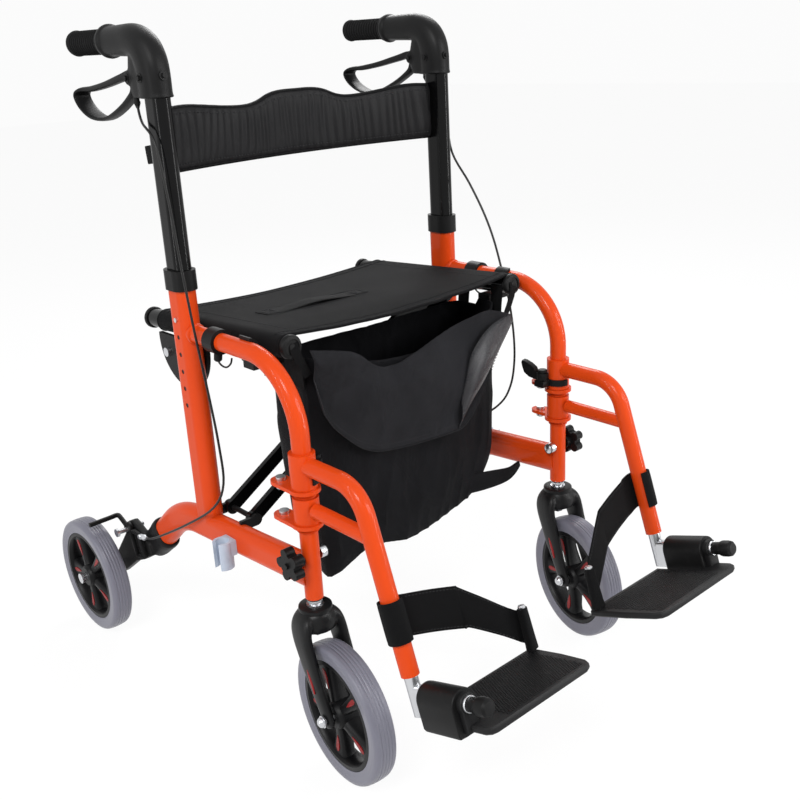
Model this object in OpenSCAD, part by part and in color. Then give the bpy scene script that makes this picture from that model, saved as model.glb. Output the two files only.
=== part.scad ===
// Rollator that is also a transport chair: two tube side frames joined by folding cross braces,
// with telescopic handles, swivel casters, braked rear wheels, a sling seat, a bag and footrests.
// Millimetres. X runs across the chair, the front faces -Y, Z is up and the ground is z = 0.
// Every side piece is drawn on the left (+X) and mirrored for the right.

/* [Frame] */
// distance of the side tubes from the middle plane
frame_x = 252; // [230:1:275]
// fore-aft place of the front post
post_y = -163; // [-180:1:-145]
// fore-aft place of the rear post
rear_y = 90; // [75:1:105]
// diameter of the round side tube
tube_d = 25; // [22:0.5:30]
// wall of the round tubes
tube_wall = 2; // [1.5:0.1:3]
// width of the flat-oval tube
oval_w = 30; // [26:1:34]
// depth of the flat-oval tube
oval_d = 46; // [40:1:52]
// height of the side tube's axis
side_z = 577; // [560:1:595]
// bend radius of the side tube
side_bend = 95; // [80:1:110]
// height of the lower rail's axis at the rear post
rail_z = 272; // [262:1:282]
// slope of the lower rail, degrees
rail_tilt = 4; // [0:0.5:6]
// top of the rear post
rear_top = 640; // [620:1:660]
// pitch of the height holes
hole_pitch = 25.4; // [20:0.1:30]
// height of the top hole
hole_top = 596; // [585:1:605]
// number of height holes
hole_count = 6; // [3:1:8]

/* [Wheels] */
// wheel radius
wheel_r = 100; // [90:1:110]
// tyre width
tyre_w = 34; // [28:1:40]
// height of the tyre over the rim
tyre_h = 22; // [18:1:26]
// rear wheel's distance from the middle plane
rear_wheel_x = 320; // [310:1:330]
// fore-aft place of the rear axle
rear_wheel_y = 395; // [385:1:410]
// offset of the caster axle from its stem
caster_trail = 55; // [45:1:65]
// turn of the right caster, degrees
right_turn = -5.7; // [-30:0.1:30]
// turn of the left caster, degrees
left_turn = -14.4; // [-30:0.1:30]

/* [Handles] */
// bottom of the handle tube
handle_bottom = 562; // [550:1:575]
// height of the grip's axis
grip_z = 965; // [955:1:975]
// radius of the grip
grip_r = 16; // [14:0.5:19]
// rear end of the grip
grip_end = 304; // [295:1:315]
// front end of the grip
grip_start = 206; // [200:1:215]

/* [Seat and braces] */
// distance of the seat tubes from the middle plane
seat_x = 212; // [200:1:220]
// height of the seat tubes at mid length
seat_z = 570; // [560:1:585]
// fore-aft middle of the seat tubes
seat_y = 79; // [72:1:88]
// length of the seat tubes
seat_len = 360; // [340:1:380]
// bare tube behind the sling
seat_tail = 37; // [20:1:50]
// backward slope of the seat, degrees
seat_tilt = 3.3; // [0:0.1:5]
// radius of the seat tubes
seat_r = 14; // [12:0.5:16]
// sag of the sling in the middle
seat_sag = 8; // [0:1:20]
// distance of the lower brace pivots from the middle plane
brace_x = 225; // [222:1:228]
// height of the lower brace pivots
brace_z = 300; // [296:1:306]
// height of a brace bar
bar_h = 20; // [16:1:21]
// thickness of a brace bar
bar_t = 8; // [6:1:10]

/* [Footrests] */
// height of the hanger's top tube
hanger_z = 446; // [440:1:452]
// height of the hanger's lower bar
hanger_low_z = 386; // [380:1:392]
// bend radius of the hanger
hanger_bend = 50; // [40:1:60]
// corner of the hanger's top tube and leg lines
hanger_corner = -274.5; // [-285:0.5:-265]
// lean of the leg from the vertical, degrees
leg_lean = 18.8; // [12:0.1:25]
// length of the leg tube beyond the bend
leg_len = 202; // [190:1:220]
// way from the leg tube's end down to the footplate axis
axis_gap = 23.12; // [22:0.01:30]
// top of the footplate below its axis
plate_drop = 24; // [20:1:28]
// footplate thickness
plate_t = 9; // [6:1:12]

/* [Soft parts] */
// height of the backrest band
back_h = 82; // [70:1:95]
// top of the backrest band below the grip's axis
back_drop = 88; // [84:1:110]
// how far the backrest bows to the rear
back_bow = 34; // [10:1:60]
// bottom of the bag
bag_bottom = 224; // [215:1:240]
// half width of the bag
bag_half = 192; // [180:1:196]
// front and rear of the bag
bag_y = [-104, -2]; // [-110:1:2]

/* [Hidden] */
$fn = 48;
eps = 0.05;
tube_r = tube_d / 2;
arc_y = post_y + side_bend;
arc_z = side_z - side_bend;
oval_in = 2 * tube_wall;
slide_gap = 0.1;
hub_r = 20;
axle_r = 5;
rim_r = wheel_r - tyre_h;
crown_z = 2 * wheel_r + 6;
post_bottom = crown_z + 47;
handle_top = grip_z - 35;
elbow_low = grip_z - 72;
back_z = [grip_z - back_drop - back_h, grip_z - back_drop];
leg_turn = 90 - leg_lean;
bend_run = hanger_bend * tan(leg_turn / 2);
leg_dy = -sin(leg_lean);
leg_dz = -cos(leg_lean);
plate_axis_z = hanger_z + leg_dz * (bend_run + leg_len + axis_gap);
plate_axis_y = hanger_corner + (hanger_z - plate_axis_z) * tan(leg_lean) * -1;
brace_dx = brace_x + seat_x;
brace_dz = seat_z - brace_z;
brace_angle = atan2(brace_dz, brace_dx);
brace_len = sqrt(brace_dx * brace_dx + brace_dz * brace_dz);
cross_z = brace_z + brace_x * tan(brace_angle);
outer_bars = [14, 70];
inner_bars = [28, 56];
rail_run = rear_y + 38 - post_y;
rail_bend = 140;
rail_drop = 37;
rail_tail = 90;
knob_z = 314;
plate_low = 360;
plate_high = 409;
ring_y = 0;
saddle_y = -66;
clip_x = 282;
clip_y = 12;
brake_y = 322;
brake_z = 2 * wheel_r - 4;
bag_top = 556;
lever_y = rear_y + 48;
lever_z = grip_z - 47;
cover_y = rear_y + 47;
cover_z = 545;
cover_r = 67;
leg_gap = 52;
leg_hole = -33;
orange = [0.9, 0.25, 0.08];
black = [0.06, 0.06, 0.07];
grey = [0.45, 0.45, 0.49];
silver = [0.75, 0.76, 0.78];
light = [0.72, 0.76, 0.82];
cloth = [0.09, 0.09, 0.1];

// flat-oval outline, w wide in x and d deep in y
module oval(w, d) {
    for (s = [-1, 1]) translate([0, s * (d - w) / 2]) circle(d = w);
    square([w, d - w], center = true);
}

// upright flat-oval bar
module oval_bar(w, d, h) {
    linear_extrude(height = h) oval(w, d);
}

// round bar along y
module bar_y(r, l) {
    rotate([-90, 0, 0]) cylinder(r = r, h = l);
}

// round bar along x
module bar_x(r, l) {
    rotate([0, 90, 0]) cylinder(r = r, h = l);
}

// box from one corner to the other
module span(a, b) {
    translate(a) cube(b - a);
}

// part of a round bend in the y-z plane, about an x-parallel axis
module bend_yz(r, bend, from, turn) {
    rotate([90, 0, 90]) rotate([0, 0, from]) rotate_extrude(angle = turn)
        translate([bend, 0]) circle(r = r);
}

// side tube: back length, bend and front post
module side_tube(r) {
    translate([frame_x, arc_y, side_z]) bar_y(r, rear_y - arc_y);
    translate([frame_x, arc_y, arc_z]) bend_yz(r, side_bend, 90, 90);
    translate([frame_x, post_y, post_bottom]) cylinder(r = r, h = arc_z - post_bottom);
}

// frame at the start of the rail's slanted tail, y along the tail
module at_tail() {
    translate([frame_x, rear_y, rail_z]) rotate([-rail_tilt, 0, 0])
        translate([0, 38, -rail_bend]) rotate([-rail_drop, 0, 0])
        translate([0, 0, rail_bend]) children();
}

// lower rail: straight length, bend and slanted tail, as one solid outline
module rail_body(w, d) {
    translate([frame_x, rear_y, rail_z]) rotate([-rail_tilt, 0, 0]) {
        translate([0, 38 - rail_run, 0]) rotate([-90, 0, 0]) oval_bar(w, d, rail_run);
        translate([0, 38, -rail_bend]) rotate([90, 0, 90]) rotate([0, 0, 90 - rail_drop])
            rotate_extrude(angle = rail_drop) translate([rail_bend, 0])
            rotate([0, 0, 90]) oval(w - 2 * eps, d - 2 * eps);
    }
    at_tail() rotate([-90, 0, 0]) oval_bar(w, d, rail_tail);
}

module rear_post() {
    color(orange) difference() {
        translate([frame_x, rear_y, rail_z]) oval_bar(oval_w, oval_d, rear_top - rail_z);
        translate([frame_x, rear_y, rail_z]) oval_bar(oval_w - oval_in, oval_d - oval_in, 400);
        rail_body(oval_w + 2 * eps, oval_d + 2 * eps);
        for (i = [0 : hole_count - 1]) translate([frame_x + 10, rear_y, hole_top - i * hole_pitch])
            bar_x(3.5, 10);
    }
}

module lower_rail() {
    color(orange) difference() {
        rail_body(oval_w, oval_d);
        translate([frame_x, rear_y, rail_z]) rotate([-rail_tilt, 0, 0])
            translate([0, 30 - rail_run, 0]) rotate([-90, 0, 0])
            oval_bar(oval_w - oval_in, oval_d - oval_in, rail_run);
        translate([frame_x, post_y, rail_z - 72]) cylinder(r = tube_r + eps, h = 200);
    }
}

module front_tube() {
    color(orange) difference() {
        side_tube(tube_r);
        side_tube(tube_r - tube_wall);
        translate([frame_x, rear_y, side_z - 60])
            oval_bar(oval_w + 2 * eps, oval_d + 2 * eps, 120);
        translate([frame_x - 30, post_y, knob_z]) bar_x(4.05, 60);
    }
}

// collar on the rear post, ring clamp with saddle, and the two plates under the hanger sleeves
module collars() {
    color(black) difference() {
        translate([frame_x, rear_y, rear_top - 2]) oval_bar(36, 52, 28);
        translate([frame_x, rear_y, rear_top - 3]) oval_bar(oval_w + 2 * eps, oval_d + 2 * eps, 3);
        translate([frame_x, rear_y, rear_top - 5])
            oval_bar(oval_w - oval_in, oval_d - oval_in, 40);
    }
    color(black) difference() {
        translate([frame_x, ring_y, side_z]) bar_y(tube_r + 5, 24);
        translate([frame_x, ring_y - 1, side_z]) bar_y(tube_r + eps, 26);
    }
    color(black) saddle(saddle_y);
}

// clip on the inner side of the side tube, and the shelf beneath the seat tube
module saddle(y) {
    tube_low = seat_z - (y + 24 - seat_y) * tan(seat_tilt) - (seat_r + 3) / cos(seat_tilt);
    shelf_z = min(side_z - tube_r - 5 - eps, tube_low);
    difference() {
        translate([frame_x, y, side_z]) bar_y(tube_r + 5, 24);
        translate([frame_x, y - 1, side_z]) bar_y(tube_r + eps, 26);
        span([frame_x - 2, y - 1, side_z - 30], [frame_x + 30, y + 25, side_z + 30]);
    }
    span([seat_x - 12, y, shelf_z - 10], [frame_x - 4, y + 24, shelf_z]);
}

// plates welded to the front post, which the hanger sleeves stand on
module hanger_plates() {
    color(orange) for (z = [plate_low, plate_high]) difference() {
        linear_extrude_at(z, 5) {
            translate([frame_x, post_y]) circle(r = 21);
            translate([frame_x - 6, post_y]) square([26, 44]);
            translate([frame_x + 7, post_y + 44]) circle(r = 13);
        }
        translate([frame_x, post_y, z - 1]) cylinder(r = tube_r + eps, h = 8);
        translate([frame_x + 7, post_y + 42, z - 1]) cylinder(r = 4, h = 8);
    }
}

module linear_extrude_at(z, h) {
    translate([0, 0, z]) linear_extrude(height = h) children();
}

// dark quarter-round cover behind the rear post, on its inner face
module cover_plate() {
    color(black) translate([frame_x - oval_w / 2 - 6.1, 0, 0]) rotate([90, 0, 90])
        linear_extrude(height = 6) difference() {
            intersection() {
                translate([cover_y, cover_z]) circle(r = cover_r, $fn = 96);
                translate([cover_y - cover_r, cover_z - cover_r])
                    square([2 * cover_r, cover_r + 7]);
            }
            translate([cover_y + 44, cover_z - 20]) circle(r = 4);
        }
}

// open clip for a walking stick on the lower rail
module cane_clip() {
    color(light) difference() {
        union() {
            translate([clip_x, clip_y, 243]) cylinder(r = 14, h = 42);
            span([frame_x + oval_w / 2 + eps, clip_y - 13, 262],
                [clip_x - 6, clip_y + 13, 285]);
        }
        translate([clip_x, clip_y, 240]) cylinder(r = 10, h = 50);
        translate([clip_x, clip_y - 8, 240]) cube([30, 16, 50]);
    }
}

// sleeve on the rail's tail with a plate to the rear axle and the brake pivot
module wheel_bracket() {
    color(black) difference() {
        union() {
            at_tail() span([-20, 40, -29], [21, rail_tail + 10, 29]);
            translate([frame_x + 8, 0, 0]) rotate([90, 0, 90]) linear_extrude(height = 16) {
                polygon([[brake_y - 54, brake_z - 8], [brake_y - 22, brake_z + 7],
                    [brake_y + 8, brake_z + 4], [rear_wheel_y + 9, wheel_r + 8],
                    [rear_wheel_y - 9, wheel_r - 8], [brake_y - 22, wheel_r + 30],
                    [brake_y - 60, wheel_r + 60]]);
                translate([rear_wheel_y, wheel_r]) circle(r = 17);
                translate([brake_y, brake_z]) circle(r = 13);
            }
        }
        at_tail() rotate([-90, 0, 0])
            oval_bar(oval_w + 2 * eps, oval_d + 2 * eps, rail_tail + eps);
        translate([frame_x, rear_wheel_y, wheel_r]) bar_x(axle_r + eps, 60);
        translate([frame_x, brake_y, brake_z]) bar_x(4 + eps, 60);
    }
}

// bright bolts, axle and button of one side frame
module frame_bolts() {
    color(silver) {
        translate([frame_x + 4, rear_wheel_y, wheel_r])
            bar_x(axle_r, rear_wheel_x + 24 - frame_x - 4);
        translate([rear_wheel_x + 24, rear_wheel_y, wheel_r]) bar_x(9, 5);
        translate([frame_x + 2, brake_y, brake_z]) bar_x(4, 46);
        translate([frame_x + 48, brake_y, brake_z]) bar_x(7, 4);
        translate([frame_x + oval_w / 2 - tube_wall, rear_y, hole_top]) bar_x(3.4, 4);
        for (z = [plate_low, plate_high]) {
            translate([frame_x + 7, post_y + 42, z - 8]) cylinder(r = 3.9, h = 18);
            translate([frame_x + 7, post_y + 42, z + 5 + eps]) cylinder(r = 7, h = 5);
            translate([frame_x + 7, post_y + 42, z - 6 - eps]) cylinder(r = 7, h = 6);
        }
        translate([frame_x - oval_w / 2 - 9, cover_y + 44, cover_z - 20]) bar_x(3.9, 9);
        translate([frame_x - oval_w / 2 - eps, cover_y + 44, cover_z - 20]) bar_x(7, 5);
    }
}

// lugs and pin on the rail's inner side for one brace's pair of bars
module brace_lugs(bars) {
    for (e = [bars[0] - 10, bars[1] + 4 + 0.5]) difference() {
        union() {
            translate([brace_x, e, brace_z]) bar_y(9, 5.5);
            span([brace_x, e, brace_z - 9], [frame_x, e + 5.5, brace_z + 6]);
        }
        rail_body(oval_w + 2 * eps, oval_d + 2 * eps);
        translate([frame_x, rear_y, rail_z]) oval_bar(oval_w + 2 * eps, oval_d + 2 * eps, 100);
    }
    translate([brace_x, bars[0] - 10, brace_z]) bar_y(4, bars[1] - bars[0] + 20);
}

// outline of one brace bar in the x-z plane, with its pivot holes
module bar_outline(cross_r) {
    difference() {
        union() {
            translate([-brace_x, brace_z]) circle(r = 11);
            translate([-brace_x, brace_z]) rotate(brace_angle) translate([0, -bar_h / 2])
                square([brace_len, bar_h]);
        }
        translate([-brace_x, brace_z]) circle(r = 4.05);
        translate([0, cross_z]) circle(r = cross_r);
    }
}

// pair of flat bars from the right rail to the left seat tube
module brace(bars, pin) {
    for (y = bars) difference() {
        translate([0, y + bar_t / 2, 0]) rotate([90, 0, 0]) linear_extrude(height = bar_t)
            bar_outline(pin ? 6 + eps : 6.05);
        translate([seat_x, seat_y, seat_z]) rotate([-seat_tilt, 0, 0])
            translate([0, -200, 0]) bar_y(seat_r + eps, 400);
        translate([seat_x - 0.4, -100, seat_z - 40]) cube([60, 300, 80]);
    }
    if (pin) {
        translate([0, bars[0] - 12, cross_z]) bar_y(6, bars[1] - bars[0] + 24);
        for (e = [bars[0] - 10.1, bars[1] + 4.1]) translate([0, e, cross_z]) difference() {
            bar_y(10, 6);
            translate([0, -1, 0]) bar_y(6 + eps, 8);
        }
    }
}

module brace_a() {
    color(black) brace(outer_bars, true);
}

module brace_b() {
    color(black) mirror([1, 0, 0]) brace(inner_bars, false);
}

module seat_tube() {
    color(black) translate([seat_x, seat_y, seat_z]) rotate([-seat_tilt, 0, 0]) {
        translate([0, -seat_len / 2, 0]) bar_y(seat_r, seat_len);
        translate([0, -seat_len / 2 - 5, 0]) bar_y(seat_r + 1.5, 5);
        translate([0, seat_len / 2, 0]) bar_y(seat_r + 1.5, 5);
    }
}

// sling: a sagging sheet that laps over both seat tubes
module seat_sling() {
    sag_r = (seat_x * seat_x + seat_sag * seat_sag) / (2 * seat_sag);
    color(cloth) translate([0, seat_y, seat_z]) rotate([-seat_tilt, 0, 0])
        translate([0, seat_len / 2 - seat_tail, 0]) rotate([90, 0, 0])
        linear_extrude(height = seat_len - seat_tail - 1) {
            for (s = [-1, 1]) intersection() {
                translate([s * seat_x, 0]) difference() {
                    circle(r = seat_r + 2.4);
                    circle(r = seat_r + eps);
                }
                translate([s * seat_x, -2.4 - seat_r]) mirror([s < 0 ? 1 : 0, 0])
                    square([40, 60]);
            }
            intersection() {
                translate([0, seat_r + sag_r - seat_sag + 0.1]) difference() {
                    circle(r = sag_r, $fn = 360);
                    circle(r = sag_r - 2.3, $fn = 360);
                }
                translate([-seat_x, -seat_sag]) square([2 * seat_x, 60]);
            }
        }
}

// open-topped bag with rounded lower edges, hung between the seat tubes
module bag() {
    depth = bag_y[1] - bag_y[0];
    color(cloth) for (s = [-1, 1]) for (y = [bag_y[0] + 6, bag_y[1] - 34])
        translate([s * (bag_half + 2.75) - 2.75, y, 520]) cube([5.5, 24, 62]);
    color(cloth) difference() {
        bag_block(bag_half, bag_y[0], depth, bag_bottom, bag_top);
        bag_block(bag_half - 3, bag_y[0] + 3, depth - 6, bag_bottom + 3, 700);
        translate([0, bag_y[0] + 12, 640]) rotate([-90, 0, 0]) cylinder(r = 130, h = depth);
    }
}

module bag_block(half, y, depth, low, high) {
    translate([0, y + depth, 0]) rotate([90, 0, 0]) linear_extrude(height = depth) {
        translate([-half, low + 36]) square([2 * half, high - low - 36]);
        for (s = [-1, 1]) translate([s * (half - 36), low + 36]) circle(r = 36);
        translate([36 - half, low]) square([2 * half - 72, 36]);
    }
}

// front flap of the bag: a rounded tongue with a dipped top edge
module bag_flap() {
    color(cloth) translate([0, bag_y[0] - 0.3, 0]) rotate([90, 0, 0])
        linear_extrude(height = 4) difference() {
            intersection() {
                translate([-8, 560]) scale(1) circle(r = 186, $fn = 120);
                translate([-bag_half, 360]) square([2 * bag_half, 186]);
            }
            translate([-24, 640]) circle(r = 118, $fn = 96);
        }
}

// band between the handle tubes, bowed to the rear, with a raised middle
module backrest() {
    half = frame_x - oval_w / 2 + tube_wall - 0.2;
    bow_r = (half * half + back_bow * back_bow) / (2 * back_bow);
    front = rear_y + 12;
    color(cloth) intersection() {
        translate([0, front + back_bow - bow_r, back_z[0]]) difference() {
            cylinder(r = bow_r, h = 110, $fn = 240);
            translate([0, 0, -1]) cylinder(r = bow_r - 7, h = 112, $fn = 240);
        }
        translate([0, 400, 0]) rotate([90, 0, 0]) linear_extrude(height = 400) difference() {
            union() {
                translate([-half, back_z[0]]) square([2 * half, back_z[1] - back_z[0] - 6]);
                translate([0, back_z[1] - 62]) circle(r = 70);
            }
            for (s = [-1, 1]) translate([s * 86, back_z[1] + 56]) circle(r = 62);
        }
    }
}

module handle_tube() {
    color(black) difference() {
        translate([frame_x, rear_y, handle_bottom]) oval_bar(oval_w - oval_in - 2 * slide_gap,
            oval_d - oval_in - 2 * slide_gap, handle_top - handle_bottom);
        translate([frame_x, rear_y, handle_bottom - 1]) oval_bar(oval_w - 2 * oval_in - 1,
            oval_d - 2 * oval_in - 1, handle_top - handle_bottom + 2);
    }
}

// moulded elbow from the handle tube to the grip, with the lever's ears
module elbow() {
    color(black) difference() {
        union() {
            translate([frame_x, rear_y + 3, elbow_low])
                oval_bar(36, 54, grip_z - elbow_low - 20);
            translate([frame_x, rear_y + 46, grip_z - 46]) bend_yz(20, 46, 90, 90);
            translate([frame_x, rear_y + 46, grip_z]) bar_y(20, 60);
            translate([frame_x, rear_y + 106, grip_z]) bar_y(22, 10);
            span([frame_x - 17, rear_y + 10, elbow_low + 3],
                [frame_x + 17, rear_y + 56, grip_z - 17]);
            translate([frame_x - 21, lever_y, lever_z]) bar_x(14, 42);
        }
        translate([frame_x, rear_y, elbow_low - 13]) oval_bar(oval_w - oval_in, oval_d - oval_in,
            handle_top - elbow_low + 13 + eps);
        span([frame_x - 9.5, rear_y + 27, elbow_low - 23],
            [frame_x + 9.5, rear_y + 80, grip_z - 29]);
        translate([frame_x - 40, lever_y, lever_z]) bar_x(4.05, 80);
        translate([frame_x, rear_y + 60, grip_z]) bar_y(10 + eps, 80);
    }
}

module grip() {
    color(black) translate([frame_x, 0, grip_z]) {
        translate([0, rear_y + 61, 0]) bar_y(10, grip_start - rear_y - 61);
        translate([0, grip_start, 0]) bar_y(grip_r, grip_end - grip_start - 6);
        translate([0, grip_end - 6, 0]) bar_y(grip_r + 1.5, 6);
        for (i = [0 : 5]) translate([0, grip_start + 8 + i * 14, 0]) bar_y(grip_r + 0.8, 7);
    }
}

// loop lever below the grip, on its pivot pin
module brake_lever() {
    color(black) {
        difference() {
            union() {
                translate([frame_x - 9, lever_y, lever_z]) bar_x(11, 18);
                translate([frame_x - 9, lever_y, lever_z]) rotate([90, 0, 90])
                    linear_extrude(height = 18) lever_outline();
            }
            translate([frame_x - 10, lever_y, lever_z]) rotate([90, 0, 90])
                linear_extrude(height = 20) polygon([[28, -24], [32, -6], [62, -10], [124, -18],
                    [138, -23], [126, -36], [102, -46], [62, -38]]);
        }
        translate([frame_x - 20, lever_y, lever_z]) bar_x(4, 40);
    }
}

module lever_outline() {
    polygon([[-6, -10], [-2, 10], [32, 5], [92, -3], [152, -10], [174, -10], [183, -18],
        [174, -28], [152, -46], [124, -58], [100, -60], [52, -48], [12, -30]]);
}

// bent arm with the shoe over the rear tyre
module brake_arm() {
    color(black) difference() {
        union() {
            translate([frame_x + 25, brake_y, brake_z]) bar_x(12, 7);
            span([frame_x + 25, brake_y - 6, brake_z + 4], [frame_x + 32, brake_y + 40, brake_z + 16]);
            span([frame_x + 25, brake_y + 30, brake_z + 9],
                [rear_wheel_x + 12, brake_y + 44, brake_z + 16]);
            span([frame_x + 25, brake_y - 38, brake_z - 8], [frame_x + 32, brake_y, brake_z + 5]);
        }
        translate([frame_x, brake_y, brake_z]) bar_x(4.05, 80);
    }
}

module tyre_ring() {
    rotate([0, 90, 0]) rotate_extrude($fn = 96) difference() {
        union() {
            translate([rim_r, -tyre_w / 2 + 4]) square([wheel_r - rim_r - 6, tyre_w - 8]);
            translate([rim_r, -tyre_w / 2 + 8]) square([wheel_r - rim_r, tyre_w - 16]);
            for (s = [-1, 1]) translate([wheel_r - 8, s * (tyre_w / 2 - 8)]) circle(r = 8);
            translate([rim_r, -tyre_w / 2 + 2]) square([10, tyre_w - 4]);
        }
        translate([wheel_r - 0.8, -0.6]) square([3, 1.2]);
    }
}

module rim_disc() {
    rotate([0, 90, 0]) difference() {
        union() {
            difference() {
                translate([0, 0, -13]) cylinder(r = rim_r - eps, h = 26);
                translate([0, 0, -14]) cylinder(r = rim_r - 9, h = 28);
            }
            translate([0, 0, -19]) cylinder(r = hub_r, h = 38);
            for (i = [0 : 4]) rotate([0, 0, 72 * i + 7.5]) translate([hub_r - 4, -8, -9])
                cube([rim_r - hub_r - 2, 16, 18]);
        }
        translate([0, 0, -30]) cylinder(r = axle_r + eps, h = 60);
    }
}

module rear_tyre() {
    color(grey) translate([rear_wheel_x, rear_wheel_y, wheel_r]) tyre_ring();
}

module rear_rim() {
    color(black) translate([rear_wheel_x, rear_wheel_y, wheel_r]) rim_disc();
}

// places a caster piece at a side's stem with its turn
module at_stem(side, turn) {
    translate([side * frame_x, post_y, 0]) rotate([0, 0, turn]) children();
}

module fork_body() {
    color(black) {
        difference() {
            union() {
                translate([0, 0, crown_z]) cylinder(r = 26, h = 28);
                translate([0, 0, crown_z + 28]) cylinder(r = 22, h = 7);
                for (s = [-1, 1]) translate([s * 29 - 5, 0, 0]) rotate([90, 0, 90])
                    linear_extrude(height = 10) {
                        translate([0, crown_z + 10]) circle(r = 20);
                        translate([-caster_trail, wheel_r]) circle(r = 15);
                        polygon([[14, crown_z + 2], [-12, crown_z + 20],
                            [-caster_trail - 11, wheel_r + 5], [-caster_trail + 10, wheel_r - 6]]);
                    }
                span([-34, -22, crown_z + 4], [34, 22, crown_z + 26]);
            }
            translate([-60, -caster_trail, wheel_r]) bar_x(axle_r, 120);
            translate([0, 0, crown_z - 6]) cylinder(r = 7, h = 60);
        }
        translate([-38, -caster_trail, wheel_r]) bar_x(axle_r - eps, 76);
        for (s = [-1, 1]) translate([s > 0 ? 34 + eps : -39 - eps, -caster_trail, wheel_r])
            bar_x(9, 5);
        translate([0, 0, crown_z - 6]) cylinder(r = 7 - eps, h = post_bottom + 36 - crown_z);
        translate([0, 0, crown_z - 8]) cylinder(r = 12, h = 8 - eps);
    }
}

module front_tyre_at(side, turn) {
    color(grey) at_stem(side, turn) translate([0, -caster_trail, wheel_r]) tyre_ring();
}

module front_rim_at(side, turn) {
    color(black) at_stem(side, turn) translate([0, -caster_trail, wheel_r]) rim_disc();
}

// bushing in the post's foot that the caster stem turns in
module stem_bush() {
    color(black) difference() {
        translate([frame_x, post_y, post_bottom - 1]) cylinder(r = tube_r - tube_wall - eps, h = 34);
        translate([frame_x, post_y, post_bottom - 2]) cylinder(r = 7, h = 40);
    }
}

// footrest hanger: two sleeves on the front post, top tube, lower bar and leg
module hanger() {
    color(orange) difference() {
        union() {
            translate([frame_x, post_y, plate_high + 5.3]) cylinder(r = 17.5, h = 48);
            translate([frame_x, post_y, plate_low + 5.3]) cylinder(r = 17.5, h = 36);
            translate([frame_x, hanger_corner + bend_run, hanger_z])
                bar_y(12, post_y - hanger_corner - bend_run);
            translate([frame_x, hanger_corner + bend_run, hanger_z - hanger_bend])
                bend_yz(12, hanger_bend, 90, leg_turn);
            leg_axis(0) cylinder(r = 12, h = leg_len);
            translate([frame_x, hanger_corner - (hanger_z - hanger_low_z) * tan(leg_lean),
                hanger_low_z]) bar_y(10, post_y - hanger_corner);
        }
        translate([frame_x, post_y, 300]) cylinder(r = tube_r + 0.06, h = 220);
        leg_axis(leg_len - 120) cylinder(r = 9.06, h = 400);
    }
    color(orange) latch_lug();
}

// frame on the leg's axis, a given way down from the bend
module leg_axis(run) {
    translate([frame_x, hanger_corner + leg_dy * (bend_run + run),
        hanger_z + leg_dz * (bend_run + run)]) rotate([180 - leg_lean, 0, 0]) children();
}

// frame on the footplate axis: x across, y to the rear, z along the leg upwards
module plate_axis() {
    translate([frame_x, plate_axis_y, plate_axis_z]) rotate([-leg_lean, 0, 0]) children();
}

// cam latch on the hanger's upper sleeve
module latch() {
    color(black) difference() {
        union() {
            translate([frame_x - 27, post_y + 9, plate_high + 22]) cylinder(r = 9, h = 12);
            translate([frame_x - 27, post_y + 9, plate_high + 22]) rotate([0, 0, 100])
                span([0, -6, 0], [56, 6, 9]);
        }
        translate([frame_x - 27, post_y + 9, plate_high]) cylinder(r = 4.05, h = 60);
    }
}

// lug and pin on the hanger's upper sleeve that carry the latch
module latch_lug() {
    union() {
        difference() {
            span([frame_x - 35, post_y + 1, plate_high + 12], [frame_x - 4, post_y + 17,
                plate_high + 21.5]);
            translate([frame_x, post_y, plate_high]) cylinder(r = 17.5 + eps, h = 60);
        }
        translate([frame_x - 27, post_y + 9, plate_high + 12]) cylinder(r = 4, h = 24);
        translate([frame_x - 27, post_y + 9, plate_high + 34.5]) cylinder(r = 7, h = 4);
    }
}

// bright leg extension that slides in the leg tube
module leg_extension() {
    color(silver) leg_axis(leg_len - 60) difference() {
        cylinder(r = 9, h = 60 + leg_gap);
        translate([0, 0, -1]) cylinder(r = 7, h = 62 + leg_gap);
    }
}

// hinge block at the leg's foot with the hinge pin and the lock knob
module hinge_block() {
    color(black) plate_axis() {
        difference() {
            translate([0, -1, 0]) rotate([90, 0, 0]) linear_extrude(height = 83) {
                translate([0, 2]) circle(r = 19.9);
                translate([-20, leg_hole]) square([40, 2 - leg_hole]);
            }
            translate([0, 0, leg_hole - 10]) cylinder(r = 9 + eps, h = 80);
        }
        translate([0, -102, 0]) bar_y(6, 30);
        translate([0, -138, 0]) bar_y(11, 37);
        translate([0, -101, 0]) bar_y(8.5, 3);
    }
}

// ribbed footplate with its hinge arm and strap peg
module footplate() {
    color(black) plate_axis() {
        difference() {
            union() {
                translate([0, 0, -plate_drop - plate_t]) linear_extrude(height = plate_t)
                    polygon([[-190, -14], [-186, -70], [-179, -116], [-168, -128], [-4, -128],
                        [6, -118], [6, -84.5], [-26, -84.5], [-26, -12], [-188, -12]]);
                translate([0, -97.5, 0]) bar_y(13, 13);
                span([-12, -97.5, -plate_drop - plate_t], [12, -84.5, 0]);
            }
            translate([0, -120, 0]) bar_y(6.05, 80);
            for (i = [0 : 15]) translate([-170, -24 - i * 6, -plate_drop - 1])
                cube([138, 2, 3]);
        }
        translate([-182, -24, -plate_drop - eps]) cylinder(r = 3.5, h = 61);
        translate([-182, -24, 61 - plate_drop]) cylinder(r = 5, h = 5);
    }
}

// webbing that loops round the leg and the footplate's peg
module heel_strap() {
    color(cloth) plate_axis() ribbon(strap_points, 56, 2.6);
}

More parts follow.
